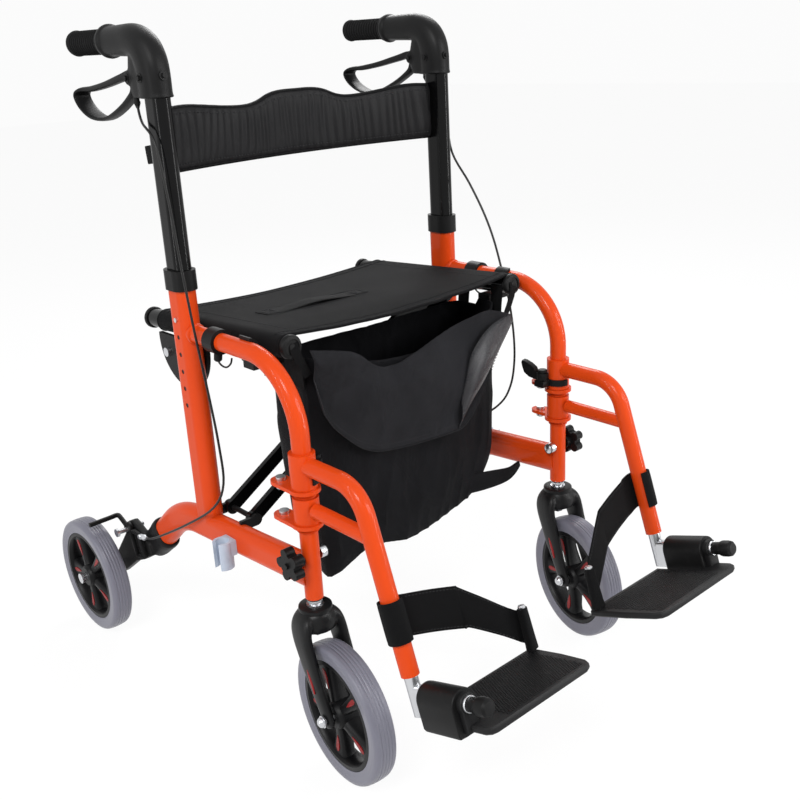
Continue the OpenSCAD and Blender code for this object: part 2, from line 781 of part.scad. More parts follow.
// upright band along a list of points
module ribbon(points, h, t) {
    count = len(points);
    rows = [for (i = [0 : count - 1]) let (d = tangent([for (q = points) [q[0], q[1], 0]], i),
        n = [-d[1], d[0], 0] * t / 2, u = [0, 0, h / 2])
        each [points[i] - n - u, points[i] + n - u, points[i] + n + u, points[i] - n + u]];
    sides = [for (i = [0 : count - 2]) for (k = [0 : 3])
        [i * 4 + k, i * 4 + (k + 1) % 4, (i + 1) * 4 + (k + 1) % 4, (i + 1) * 4 + k]];
    last = 4 * (count - 1);
    polyhedron(points = rows, faces = concat(sides, [[3, 2, 1, 0]],
        [[last, last + 1, last + 2, last + 3]]), convexity = 6);
}

// five-lobed knob with its stud through the front post
module star_knob() {
    color(black) translate([0, post_y, knob_z]) {
        translate([frame_x - 18, 0, 0]) bar_x(4, 60);
        translate([frame_x - 24, 0, 0]) bar_x(8, 10.5);
        translate([frame_x + 15.3, 0, 0]) bar_x(9, 9.7);
        translate([frame_x + 25, 0, 0]) bar_x(15, 14);
        for (i = [0 : 4]) rotate([72 * i, 0, 0]) translate([frame_x + 25, 16, 0]) bar_x(7, 14);
    }
}

function unit(v) = v / norm(v);
function tangent(p, i) = unit(p[min(i + 1, len(p) - 1)] - p[max(i - 1, 0)]);
function ring(p, i, r, n) = let (t = tangent(p, i), a = unit(cross(t, [1, 0, 0])),
    b = cross(t, a)) [for (k = [0 : n - 1]) p[i] + r * (cos(360 * k / n) * a
    + sin(360 * k / n) * b)];

// round cord along a list of points
module cord(points, r, n = 8) {
    count = len(points);
    rows = [for (i = [0 : count - 1]) each ring(points, i, r, n)];
    sides = [for (i = [0 : count - 2]) for (k = [0 : n - 1])
        [i * n + k, i * n + (k + 1) % n, (i + 1) * n + (k + 1) % n, (i + 1) * n + k]];
    first = [[for (k = [n - 1 : -1 : 0]) k]];
    last = [[for (k = [0 : n - 1]) (count - 1) * n + k]];
    polyhedron(points = rows, faces = concat(sides, first, last), convexity = 6);
}

// smooth route through the control points
function route(c, steps) = [for (i = [0 : len(c) - 2]) for (s = [0 : steps - 1])
    spline(c[max(i - 1, 0)], c[i], c[i + 1], c[min(i + 2, len(c) - 1)], s / steps)];
function spline(a, b, c, d, t) = 0.5 * (2 * b + (c - a) * t + (2 * a - 5 * b + 4 * c - d) * t * t
    + (3 * b - a - 3 * c + d) * t * t * t);

strap_points = [[-10, -12, 93], [0, -15.4, 93], [11, -10.9, 93], [15.4, 0, 93], [10.9, 11, 93],
    [0, 15.4, 92.5], [-16, 15, 90.5], [-60, 9.2, 80], [-100, 2.6, 68.5], [-105, 1.5, 66.5],
    [-110, 0.2, 64], [-140, -7, 41], [-165, -13.5, 21], [-182, -17, 9], [-189, -24, 8.5],
    [-182, -31, 8], [-175, -27, 8]];

function fall(share) = lever_z - share * (lever_z - side_z);
cable_top = [[262, lever_y - 10, lever_z - 22.3], [263, lever_y - 12, lever_z - 34],
    [269, lever_y - 30, lever_z - 56]];
cable_end = [[283, brake_y - 102, brake_z + 20], [281, brake_y - 60, brake_z + 3],
    [280.5, brake_y - 38.3, brake_z - 1]];
near_cable = concat(cable_top, [[272, 76, fall(0.235)], [272, 60, fall(0.434)],
    [271, 50, fall(0.698)], [270, 38, fall(0.962)], [269, 22, 500], [268.5, 12, 430],
    [268.5, 12, 370], [269.5, 46, 322], [276, 120, 272]], cable_end);
far_cable = concat(cable_top, [[272, 92, fall(0.2815)], [272, 80, fall(0.446)],
    [271, 42, fall(0.581)], [270, 10, fall(0.713)], [270, -12, fall(0.839)],
    [270, -30, fall(0.991)], [270, -46, 525], [269, -55, 470], [268.5, -55, 425],
    [268.5, -46, 385], [269, -24, 350], [269.5, 22, 316], [276, 110, 280]], cable_end);

module brake_cable(points) {
    color(black) cord(route(points, 5), 1.8);
}

module mirrored() {
    mirror([1, 0, 0]) children();
}

module right_rear_post() {
    mirrored() rear_post();
}

module right_rail() {
    mirrored() lower_rail();
}

module right_front_tube() {
    mirrored() {
        front_tube();
        hanger_plates();
    }
}

module right_fittings() {
    mirrored() {
        collars();
        cover_plate();
        stem_bush();
        color(black) brace_lugs(outer_bars);
    }
}

module right_cane_clip() {
    mirrored() cane_clip();
}

module right_bracket() {
    mirrored() wheel_bracket();
}

module right_bolts() {
    mirrored() frame_bolts();
}

module right_cable() {
    mirrored() brake_cable(near_cable);
}

module right_handle_tube() {
    mirrored() handle_tube();
}

module right_elbow() {
    mirrored() elbow();
}

module right_grip() {
    mirrored() grip();
}

module right_lever() {
    mirrored() brake_lever();
}

module right_brake_arm() {
    mirrored() brake_arm();
}

module right_rear_tyre() {
    mirrored() rear_tyre();
}

module right_rear_rim() {
    mirrored() rear_rim();
}

module right_fork() {
    at_stem(-1, right_turn) fork_body();
}

module right_front_tyre() {
    front_tyre_at(-1, right_turn);
}

module right_front_rim() {
    front_rim_at(-1, right_turn);
}

module right_hanger() {
    mirrored() hanger();
}

module right_latch() {
    mirrored() latch();
}

module right_leg() {
    mirrored() leg_extension();
}

module right_block() {
    mirrored() hinge_block();
}

module right_footplate() {
    mirrored() footplate();
}

module right_strap() {
    mirrored() heel_strap();
}

module right_knob() {
    mirrored() star_knob();
}

module left_rear_post() {
    rear_post();
}

module left_rail() {
    lower_rail();
}

module left_front_tube() {
    {
        front_tube();
        hanger_plates();
    }
}

module left_fittings() {
    {
        collars();
        cover_plate();
        stem_bush();
        color(black) brace_lugs(inner_bars);
    }
}

module left_cane_clip() {
    cane_clip();
}

module left_bracket() {
    wheel_bracket();
}

module left_bolts() {
    frame_bolts();
}

module left_cable() {
    brake_cable(far_cable);
}

module left_handle_tube() {
    handle_tube();
}

module left_elbow() {
    elbow();
}

module left_grip() {
    grip();
}

module left_lever() {
    brake_lever();
}

module left_brake_arm() {
    brake_arm();
}

module left_rear_tyre() {
    rear_tyre();
}

module left_rear_rim() {
    rear_rim();
}

module left_fork() {
    at_stem(1, left_turn) fork_body();
}

module left_front_tyre() {
    front_tyre_at(1, left_turn);
}

module left_front_rim() {
    front_rim_at(1, left_turn);
}

module left_hanger() {
    hanger();
}

module left_latch() {
    latch();
}

module left_leg() {
    leg_extension();
}

module left_block() {
    hinge_block();
}

module left_footplate() {
    footplate();
}

module left_strap() {
    heel_strap();
}

module left_knob() {
    star_knob();
}

module right_seat_tube() {
    mirrored() seat_tube();
}

module left_seat_tube() {
    seat_tube();
}

right_rear_post();
right_rail();
right_front_tube();
right_fittings();
right_cane_clip();
right_bracket();
right_bolts();
right_cable();
right_handle_tube();
right_elbow();
right_grip();
right_lever();
right_brake_arm();
right_rear_tyre();
right_rear_rim();
right_fork();
right_front_tyre();
right_front_rim();
right_hanger();
right_latch();
right_leg();
right_block();
right_footplate();
right_strap();
right_knob();
left_rear_post();
left_rail();
left_front_tube();
left_fittings();
left_cane_clip();
left_bracket();
left_bolts();
left_cable();
left_handle_tube();
left_elbow();
left_grip();
left_lever();
left_brake_arm();
left_rear_tyre();
left_rear_rim();
left_fork();
left_front_tyre();
left_front_rim();
left_hanger();
left_latch();
left_leg();
left_block();
left_footplate();
left_strap();
left_knob();
brace_a();
brace_b();
right_seat_tube();
left_seat_tube();
seat_sling();
bag();
bag_flap();
backrest();
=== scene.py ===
"""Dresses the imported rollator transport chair: finishes, soft goods, cables and small hardware."""

import logging
import math
from dataclasses import dataclass, field, replace
from enum import Enum
from typing import Callable, Sequence

import bmesh
import bpy
from mathutils import Matrix, Vector, noise


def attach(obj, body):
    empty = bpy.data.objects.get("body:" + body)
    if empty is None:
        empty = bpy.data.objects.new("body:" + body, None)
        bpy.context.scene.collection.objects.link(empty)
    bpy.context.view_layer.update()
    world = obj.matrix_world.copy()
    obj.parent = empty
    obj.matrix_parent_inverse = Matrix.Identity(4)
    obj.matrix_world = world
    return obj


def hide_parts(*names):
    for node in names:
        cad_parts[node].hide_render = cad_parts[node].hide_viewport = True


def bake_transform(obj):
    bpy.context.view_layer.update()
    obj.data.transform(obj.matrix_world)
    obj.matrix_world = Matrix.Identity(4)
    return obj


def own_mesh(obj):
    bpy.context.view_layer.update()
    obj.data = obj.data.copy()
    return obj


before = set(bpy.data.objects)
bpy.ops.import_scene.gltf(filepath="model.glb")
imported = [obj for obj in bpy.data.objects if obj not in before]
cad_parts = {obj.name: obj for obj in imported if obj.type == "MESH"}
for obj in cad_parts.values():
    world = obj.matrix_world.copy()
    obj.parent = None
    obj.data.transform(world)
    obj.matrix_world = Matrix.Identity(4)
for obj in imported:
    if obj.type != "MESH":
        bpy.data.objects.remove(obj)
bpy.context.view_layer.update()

LOG = logging.getLogger("rollator")
Triple = tuple[float, float, float]
Spot = Triple | Vector
Ring = list[Vector]
Pairs = Sequence[tuple[float, float]]
Outline = tuple[tuple[float, float], ...]
Sizes = Callable[[float], tuple[float, float]]
Sockets = bpy.types.bpy_prop_collection
Feeds = dict[str | int, bpy.types.NodeSocket | float | tuple[float, ...] | str]


ORIGIN: Triple = (0.0, 0.0, 0.0)
ACROSS, BACK, UP = (Vector(way) for way in ((1, 0, 0), (0, 1, 0), (0, 0, 1)))
AXIS_GAP = 1e-5


class Side(Enum):
    """A side of the chair, with the sign of its X."""

    RIGHT = -1
    LEFT = 1

    @property
    def label(self) -> str:
        """Prefix of the side's node and body names."""
        return self.name.lower()

    @property
    def flip(self) -> bool:
        """Whether shapes, which are drawn on the left, are mirrored."""
        return self is Side.RIGHT


class Texture(Enum):
    """How a finish varies over its surface."""

    GRAIN = "grain"
    WEAVE = "weave"
    BRUSHED = "brushed"
    LINES = "lines"


def smooth_path(points: Sequence[Triple], steps: int = 6, loop: bool = False) -> list[Vector]:
    """Runs a Catmull-Rom curve through points.

    Args:
        points: control points in metres.
        steps: pieces between two control points.
        loop: whether the curve closes on itself.
    Returns:
        The points of the curve.
    """
    pts = [Vector(p) for p in points]
    count = len(pts)
    out: list[Vector] = []
    for i in range(count if loop else count - 1):
        if loop:
            a, b, c, d = (pts[(i + k) % count] for k in (-1, 0, 1, 2))
        else:
            a, b, c, d = (pts[min(max(i + k, 0), count - 1)] for k in (-1, 0, 1, 2))
        for s in range(steps):
            t = s / steps
            out.append(0.5 * (2 * b + (c - a) * t + (2 * a - 5 * b + 4 * c - d) * t * t
                              + (3 * b - a - 3 * c + d) * t ** 3))
    if not loop:
        out.append(pts[-1])
    return out


def blend_values(stops: Pairs, t: float) -> float:
    """Reads a piecewise smooth curve given by stops.

    Args:
        stops: pairs of place and value, in rising order.
        t: the place to read.
    Returns:
        The value at t.
    """
    if t <= stops[0][0]:
        return stops[0][1]
    for (a, va), (b, vb) in zip(stops, stops[1:]):
        if t <= b:
            k = (t - a) / (b - a)
            k = k * k * (3 - 2 * k)
            return va + (vb - va) * k
    return stops[-1][1]


def outline_height(points: Pairs, x: float) -> float:
    """Height of a smooth outline.

    Args:
        points: places across with their heights.
        x: place across.
    Returns:
        The height there.
    """
    curve = smooth_path([(px, 0.0, pz) for px, pz in points], 8)
    return blend_values([(p.x, p.z) for p in curve], x)


def by_stops(first: Pairs, second: Pairs) -> Sizes:
    """Half sizes of a sweep that change along its path.

    Args:
        first: stops of the half size across.
        second: stops of the half size along up.
    Returns:
        Both half sizes as a function of the share of the path.
    """
    return lambda t: (blend_values(first, t), blend_values(second, t))


def squared(value: float, power: float) -> float:
    """A power of a value that keeps its sign, which squares a section off."""
    return math.copysign(abs(value) ** power, value)


def oval(sides: int, power: float = 1.0) -> list[tuple[float, float]]:
    """Points of a unit oval.

    Args:
        sides: number of points.
        power: 1 for a circle, lower for a squarer oval.
    Returns:
        Places across and up, from -1 to 1.
    """
    turns = [2 * math.pi * k / sides for k in range(sides)]
    return [(squared(math.cos(a), power), squared(math.sin(a), power)) for a in turns]


class Shape:
    """A mesh under construction: lofts, tubes and lathes that end as one object."""

    def __init__(self) -> None:
        """Starts an empty shape."""
        self.verts: list[Vector] = []
        self.faces: list[tuple[int, ...]] = []
        self.uvs: list[tuple[float, float]] = []

    def loft(self, rings: Sequence[Ring], closed: bool = True, caps: bool = True,
             loop: bool = False) -> "Shape":
        """Skins a row of rings.

        Args:
            rings: rings of equal length.
            closed: whether each ring closes on itself.
            caps: whether the first and last ring get a face.
            loop: whether the last ring joins the first.
        Returns:
            The shape itself.
        """
        base, n = len(self.verts), len(rings[0])
        along = 0.0
        for i, ring in enumerate(rings):
            if i:
                along += (sum(ring, Vector()) / n - sum(rings[i - 1], Vector()) / n).length
            across = 0.0
            for k, p in enumerate(ring):
                if k:
                    across += (p - ring[k - 1]).length
                self.verts.append(Vector(p))
                self.uvs.append((across, along))
        rows = len(rings)
        for i in range(rows if loop else rows - 1):
            j = (i + 1) % rows
            for k in range(n if closed else n - 1):
                m = (k + 1) % n
                self.faces.append((base + i * n + k, base + i * n + m,
                                   base + j * n + m, base + j * n + k))
        if caps and closed and not loop:
            self.faces.append(tuple(base + k for k in reversed(range(n))))
            self.faces.append(tuple(base + (rows - 1) * n + k for k in range(n)))
        return self

    def sweep(self, path: Sequence[Vector], size: Sizes,
              up: Vector, sides: int = 16, loop: bool = False, power: float = 2.0) -> "Shape":
        """Sweeps an oval section along a path.

        Args:
            path: centre points.
            size: half sizes across and along up, by share of the path.
            up: direction that the section's second axis stays close to.
            sides: points in the section.
            loop: whether the path closes.
            power: 2 for an oval, higher for a squarer section.
        Returns:
            The shape itself.
        """
        rings: list[Ring] = []
        count, section = len(path), oval(sides, 2 / power)
        for i, p in enumerate(path):
            before = path[i - 1] if i or loop else path[0]
            after = path[(i + 1) % count] if i < count - 1 or loop else path[-1]
            run = (after - before).normalized()
            side = run.cross(up).normalized()
            top = side.cross(run).normalized()
            a, b = size(i / max(count - 1, 1))
            rings.append([p + side * (a * c) + top * (b * s) for c, s in section])
        return self.loft(rings, loop=loop)

    def tube(self, path: Sequence[Vector], radius: float, sides: int = 12) -> "Shape":
        """Sweeps a round section along a path.

        Args:
            path: centre points.
            radius: radius in metres.
            sides: points in the section.
        Returns:
            The shape itself.
        """
        up = Vector((1.0, 0.02, 0.01))
        return self.sweep(path, lambda t: (radius, radius), up, sides)

    def lathe(self, profile: Pairs, origin: Spot, axis: Spot,
              steps: int = 32) -> "Shape":
        """Turns a profile of (radius, height) pairs about an axis.

        Args:
            profile: radius and height pairs from one end to the other; one that keeps off
                the axis at both ends closes to a ring.
            origin: where height is zero.
            axis: direction of height.
            steps: points in a turn.
        Returns:
            The shape itself.
        """
        turn = UP.rotation_difference(Vector(axis)).to_matrix()
        at = Vector(origin)
        open_ring = min(profile[0][0], profile[-1][0]) > 1e-4
        rings = [[at + turn @ Vector((max(r, AXIS_GAP) * c, max(r, AXIS_GAP) * s, h))
                  for c, s in oval(steps)] for r, h in profile]
        return self.loft(rings, loop=open_ring)

    def slab(self, outline: Pairs, depth: float, place: Matrix,
             ease: float = 0.0012) -> "Shape":
        """Raises a flat outline to a plate with eased edges.

        Args:
            outline: corner points in the plate's own plane.
            depth: thickness.
            place: matrix that puts the plate in the chair's frame.
            ease: size of the edge rounding.
        Returns:
            The shape itself.
        """
        cx = sum(p[0] for p in outline) / len(outline)
        cy = sum(p[1] for p in outline) / len(outline)
        far = max(math.hypot(x - cx, y - cy) for x, y in outline)
        k = 1 - ease / far
        return self.loft([[place @ Vector((cx + (x - cx) * s, cy + (y - cy) * s, h))
                           for x, y in outline]
                          for h, s in ((0, k), (ease, 1), (depth - ease, 1), (depth, k))])

    def mesh(self, name: str, mirror: bool = False, merge: float = 1e-5) -> bpy.types.Mesh:
        """Turns the shape into a mesh with outward faces and a UV map in metres.

        Args:
            name: mesh name.
            mirror: whether X is turned round, for the right side.
            merge: distance under which points become one.
        Returns:
            The mesh.
        """
        sign = -1.0 if mirror else 1.0
        data = bpy.data.meshes.new(name)
        data.from_pydata([(sign * v.x, v.y, v.z) for v in self.verts], [], self.faces)
        layer = data.uv_layers.new(name="UVMap")
        for loop in data.loops:
            layer.data[loop.index].uv = self.uvs[loop.vertex_index]
        bm = bmesh.new()
        bm.from_mesh(data)
        bmesh.ops.remove_doubles(bm, verts=bm.verts, dist=merge)
        bmesh.ops.recalc_face_normals(bm, faces=bm.faces)
        bm.to_mesh(data)
        bm.free()
        return data


def link(name: str, data: bpy.types.ID) -> bpy.types.Object:
    """Adds an object to the scene.

    Args:
        name: object name.
        data: its mesh, camera or light.
    Returns:
        The object.
    """
    obj = bpy.data.objects.new(name, data)
    bpy.context.scene.collection.objects.link(obj)
    return obj


def put(name: str, data: bpy.types.Mesh, finish: "Finish", flat_angle: float = 40.0
        ) -> bpy.types.Object:
    """Places a mesh in the scene with its finish.

    Args:
        name: object name.
        data: the mesh, already in the chair's frame.
        finish: its finish.
        flat_angle: edges sharper than this stay sharp, in degrees.
    Returns:
        The object.
    """
    obj = link(name, data)
    data.materials.clear()
    data.materials.append(finish.material())
    for poly in data.polygons:
        poly.use_smooth = True
    data.set_sharp_from_angle(angle=math.radians(flat_angle))
    LOG.info("piece %s: %d faces", name, len(data.polygons))
    return obj


def settle(obj: bpy.types.Object) -> bpy.types.Object:
    """Applies an object's modifiers to its mesh and shades it smooth.

    Args:
        obj: the object.
    Returns:
        The same object with a plain mesh.
    """
    deps = bpy.context.evaluated_depsgraph_get()
    data = bpy.data.meshes.new_from_object(obj.evaluated_get(deps))
    obj.modifiers.clear()
    obj.data = data
    for poly in data.polygons:
        poly.use_smooth = True
    return obj


def thicken(obj: bpy.types.Object, depth: float, levels: int = 0) -> bpy.types.Object:
    """Gives a sheet its thickness and, if asked, a subdivision.

    Args:
        obj: a sheet.
        depth: thickness in metres, to both sides.
        levels: subdivision levels.
    Returns:
        The object with a plain mesh.
    """
    solid = obj.modifiers.new("wall", "SOLIDIFY")
    solid.thickness, solid.offset = depth, 0.0
    if levels:
        sub = obj.modifiers.new("round", "SUBSURF")
        sub.levels = sub.render_levels = levels
    return settle(obj)


def feed(tree: bpy.types.NodeTree, node: bpy.types.Node, inputs: Feeds) -> None:
    """Fills a node's inputs.

    Args:
        tree: tree of the node.
        node: the node.
        inputs: for each input, the socket that feeds it or its plain value.
    """
    for key, value in inputs.items():
        if isinstance(value, bpy.types.NodeSocket):
            tree.links.new(value, node.inputs[key])
        else:
            node.inputs[key].default_value = value


def add_node(tree: bpy.types.NodeTree, kind: str, inputs: Feeds, **settings: object
             ) -> bpy.types.Node:
    """Adds a node to a tree.

    Args:
        tree: the tree.
        kind: type of the node.
        inputs: what fills its inputs.
        settings: values of the node's own settings.
    Returns:
        The node.
    """
    node = tree.nodes.new(kind)
    for key, value in settings.items():
        setattr(node, key, value)
    feed(tree, node, inputs)
    return node


class Effects:
    """Shader node groups that several finishes share, each built once."""

    @classmethod
    def of(cls, texture: Texture) -> bpy.types.NodeTree:
        """Finds the group of a texture, or builds it.

        Args:
            texture: the texture; brushed metal shares the grain.
        Returns:
            The group.
        """
        name, make = {Texture.WEAVE: ("cloth weave", cls._weave),
                      Texture.LINES: ("moulding lines", cls._lines)
                      }.get(texture, ("surface grain", cls._grain))
        return bpy.data.node_groups.get(name) or make(name)

    @staticmethod
    def _group(name: str, sizes: dict[str, float]) -> tuple[bpy.types.NodeTree, Sockets]:
        """Starts a group that gives a height, a tone and a scuff.

        Args:
            name: group name.
            sizes: names and defaults of its inputs beside the place.
        Returns:
            The tree and the sockets of its inputs.
        """
        tree = bpy.data.node_groups.new(name, "ShaderNodeTree")
        vec = tree.interface.new_socket("Place", in_out="INPUT", socket_type="NodeSocketVector")
        vec.hide_value = True
        for label, value in sizes.items():
            sock = tree.interface.new_socket(label, in_out="INPUT", socket_type="NodeSocketFloat")
            sock.default_value = value
        for label in ("Height", "Tone", "Scuff"):
            tree.interface.new_socket(label, in_out="OUTPUT", socket_type="NodeSocketFloat")
        return tree, tree.nodes.new("NodeGroupInput").outputs

    @classmethod
    def _grain(cls, name: str) -> bpy.types.NodeTree:
        """Fine grain, slow tone changes and scuffs.

        Args:
            name: group name.
        Returns:
            The group.
        """
        tree, inp = cls._group(name, {"Scale": 400.0, "Drift": 14.0})
        fine, slow, scuff = (
            add_node(tree, "ShaderNodeTexNoise", {"Vector": inp["Place"], "Scale": scale,
                                                  "Detail": detail}).outputs["Fac"]
            for scale, detail in ((inp["Scale"], 3.0), (inp["Drift"], 2.0), (55.0, 6.0)))
        curve = add_node(tree, "ShaderNodeMapRange", {"Value": scuff, "From Min": 0.62,
                                                      "From Max": 0.74})
        add_node(tree, "NodeGroupOutput", {"Height": fine, "Tone": slow,
                                           "Scuff": curve.outputs["Result"]})
        return tree

    @classmethod
    def _weave(cls, name: str) -> bpy.types.NodeTree:
        """Over-and-under threads and soft creases, read from a UV map in metres; the crease noise
        also goes into the tone, which paints lighter and darker streaks of crease sheen and shade
        into the colour.

        Args:
            name: group name.
        Returns:
            The group.
        """
        tree, inp = cls._group(name, {"Threads": 420.0, "Drift": 9.0, "Crease": 0.0})
        place = inp["Place"]
        warp, weft = (
            add_node(tree, "ShaderNodeTexWave", {"Vector": place, "Scale": inp["Threads"],
                                                 "Distortion": 0.6, "Detail Scale": 2.0},
                     bands_direction=way).outputs["Fac"] for way in "XY")
        threads = add_node(tree, "ShaderNodeMath", {0: warp, 1: weft}, operation="MULTIPLY")
        slow = add_node(tree, "ShaderNodeTexNoise", {"Vector": place, "Scale": inp["Drift"],
                                                     "Detail": 3.0})
        bend = add_node(tree, "ShaderNodeMapping", {"Vector": place, "Scale": (20.0, 11.0, 1.0)})
        folds = add_node(tree, "ShaderNodeTexNoise", {
            "Vector": bend.outputs["Vector"], "Scale": 1.0, "Detail": 2.5, "Distortion": 1.1})
        whole = add_node(tree, "ShaderNodeMath", {
            0: folds.outputs["Fac"], 1: inp["Crease"], 2: threads.outputs["Value"]},
            operation="MULTIPLY_ADD")
        # Painted crease shade and sheen: the fold noise makes up 60 parts in 100 of the tone and
        # lightens and darkens the cloth's colour along the creases; the slow noise is random tone.
        tone = add_node(tree, "ShaderNodeMix", {0: 0.6, 2: slow.outputs["Fac"],
                                                3: folds.outputs["Fac"]})
        speck = add_node(tree, "ShaderNodeTexNoise", {"Vector": place, "Scale": 620.0,
                                                      "Detail": 1.0})
        fleck = add_node(tree, "ShaderNodeMix", {0: 0.35, 2: tone.outputs[0],
                                                 3: speck.outputs["Fac"]})
        add_node(tree, "NodeGroupOutput", {"Height": whole.outputs["Value"],
                                           "Tone": fleck.outputs[0], "Scuff": warp})
        return tree

    @classmethod
    def _lines(cls, name: str) -> bpy.types.NodeTree:
        """Fine moulding lines round a tyre, read along the UV map's second axis.

        Args:
            name: group name.
        Returns:
            The group.
        """
        tree, inp = cls._group(name, {"Lines": 300.0, "Drift": 20.0})
        long = add_node(tree, "ShaderNodeMapping", {"Vector": inp["Place"],
                                                    "Scale": (0.12, 1.0, 1.0)}).outputs["Vector"]
        wave = add_node(tree, "ShaderNodeTexWave", {
            "Vector": long, "Scale": inp["Lines"], "Distortion": 1.2, "Detail": 3.0,
            "Detail Scale": 3.0}, bands_direction="Y")
        slow = add_node(tree, "ShaderNodeTexNoise", {"Vector": long, "Scale": inp["Drift"],
                                                     "Detail": 4.0}).outputs["Fac"]
        add_node(tree, "NodeGroupOutput", {"Height": wave.outputs["Fac"], "Tone": slow,
                                           "Scuff": slow})
        return tree


@dataclass(frozen=True)
class Finish:
    """A surface: its colour, gloss and the way both vary."""

    name: str
    color: Triple
    slot: str
    rough: float = 0.5
    metal: float = 0.0
    coat: float = 0.0
    coat_rough: float = 0.1
    sheen: float = 0.0
    specular: float = 0.5
    texture: Texture = Texture.GRAIN
    scale: float = 400.0
    drift: float = 14.0
    bump: float = 0.1
    depth: float = 0.0004
    contrast: float = 0.2
    rough_swing: float = 0.12
    scuff: float = 0.0
    crease: float = 0.0

    def material(self) -> bpy.types.Material:
        """Builds the finish's material once.

        Returns:
            The material.
        """
        found = bpy.data.materials.get(self.name)
        if found:
            return found
        mat = bpy.data.materials.new(self.name)
        mat.use_nodes = True
        mat.diffuse_color = (*self.color, 1.0)
        tree = mat.node_tree
        mapped = self.texture in (Texture.WEAVE, Texture.LINES)
        place = tree.nodes.new("ShaderNodeTexCoord").outputs["UV" if mapped else "Object"]
        if self.texture is Texture.BRUSHED:
            place = add_node(tree, "ShaderNodeMapping", {
                "Vector": place, "Scale": (1.0, 1.0, 0.06)}).outputs["Vector"]
        effect = add_node(tree, "ShaderNodeGroup", {"Place": place, 1: self.scale, 2: self.drift},
                          node_tree=Effects.of(self.texture))
        if self.texture is Texture.WEAVE:
            effect.inputs["Crease"].default_value = self.crease
        # The tone sets the colour between a darker and a lighter copy; for woven finishes it carries
        # painted crease shade and sheen as well as random tone.
        low, high = ((*(min(c * share, 1) for c in self.color), 1)
                     for share in (1 - self.contrast, 1 + self.contrast))
        colour = add_node(tree, "ShaderNodeMix", {0: effect.outputs["Tone"], 6: low, 7: high},
                          data_type="RGBA").outputs[2]
        if self.scuff:
            amount = add_node(tree, "ShaderNodeMath", {0: effect.outputs["Scuff"], 1: self.scuff},
                              operation="MULTIPLY")
            worn = (*(c * 0.5 + 0.06 for c in self.color), 1)
            colour = add_node(tree, "ShaderNodeMix", {0: amount.outputs["Value"], 6: colour,
                                                      7: worn}, data_type="RGBA").outputs[2]
        gloss = add_node(tree, "ShaderNodeMapRange", {
            "Value": effect.outputs["Tone"], "To Min": max(self.rough - self.rough_swing, 0.03),
            "To Max": min(self.rough + self.rough_swing, 1.0)})
        bump = add_node(tree, "ShaderNodeBump", {
            "Strength": self.bump, "Distance": self.depth, "Height": effect.outputs["Height"]})
        feed(tree, tree.nodes["Principled BSDF"], {
            "Metallic": self.metal, "Coat Weight": self.coat, "Coat Roughness": self.coat_rough,
            "Sheen Weight": self.sheen, "Sheen Roughness": 0.4,
            "Specular IOR Level": self.specular, "Base Color": colour,
            "Roughness": gloss.outputs["Result"], "Normal": bump.outputs["Normal"]})
        return mat


ORANGE = Finish("orange powder coat", (0.63, 0.056, 0.006), "orange_paint", rough=0.34, coat=0.14,
                coat_rough=0.05, specular=0.09, scale=900.0, drift=5.0, bump=0.04, contrast=0.05,
                rough_swing=0.06)
BLACK_TUBE = Finish("black tube enamel", (0.0020, 0.0020, 0.0022), "black_tube", rough=0.16,
                    specular=0.16, scale=800.0, bump=0.03, contrast=0.2, rough_swing=0.04)
PLASTIC = Finish("black moulded plastic", (0.0060, 0.0060, 0.0062), "black_plastic", rough=0.44,
                 specular=0.13, scale=1400.0, bump=0.25, contrast=0.25, scuff=0.06)
FORK = Finish("black fork nylon", (0.0060, 0.0060, 0.0064), "fork_black", rough=0.38,
              specular=0.18, scale=1100.0, bump=0.18, contrast=0.2, scuff=0.08)
RIM = Finish("black rim nylon", (0.0045, 0.0045, 0.005), "rim_black", rough=0.4, specular=0.16,
             scale=900.0, bump=0.12, contrast=0.2)
RED = Finish("red insert", (0.24, 0.009, 0.010), "", rough=0.38, specular=0.2, scale=500.0,
             bump=0.06, contrast=0.15)
GRIP = Finish("grip rubber", (0.006, 0.006, 0.0062), "grip_rubber", rough=0.68, specular=0.12,
              scale=900.0, bump=0.35, contrast=0.3, scuff=0.1)
TYRE = Finish("grey tyre", (0.172, 0.171, 0.212), "tyre", rough=0.34, specular=0.35,
              texture=Texture.LINES, scale=210.0, drift=60.0, bump=0.22, depth=0.0005,
              contrast=0.16, rough_swing=0.1)
STEEL = Finish("zinc steel", (0.60, 0.61, 0.63), "bright_steel", rough=0.28, metal=1.0,
               texture=Texture.BRUSHED, scale=900.0, bump=0.08, contrast=0.12)
GREY_CLIP = Finish("grey clip plastic", (0.46, 0.52, 0.62), "grey_plastic", rough=0.42,
                   specular=0.3, scale=900.0, bump=0.08, contrast=0.08)
PLATE = Finish("footplate plastic", (0.0075, 0.0075, 0.0080), "plate_black", rough=0.5,
               specular=0.2, scale=1600.0, bump=0.4, contrast=0.3, scuff=0.12)
SHEATH = Finish("cable sheath", (0.008, 0.008, 0.008), "cable_black", rough=0.36, specular=0.25,
                scale=1500.0, bump=0.05)
SEAT_CLOTH = Finish("seat nylon", (0.0040, 0.0040, 0.0045), "seat_cloth", rough=0.8, sheen=0.012,
                    specular=0.08, texture=Texture.WEAVE, scale=300.0, bump=0.6, depth=0.0006,
                    contrast=0.3, crease=2.0)
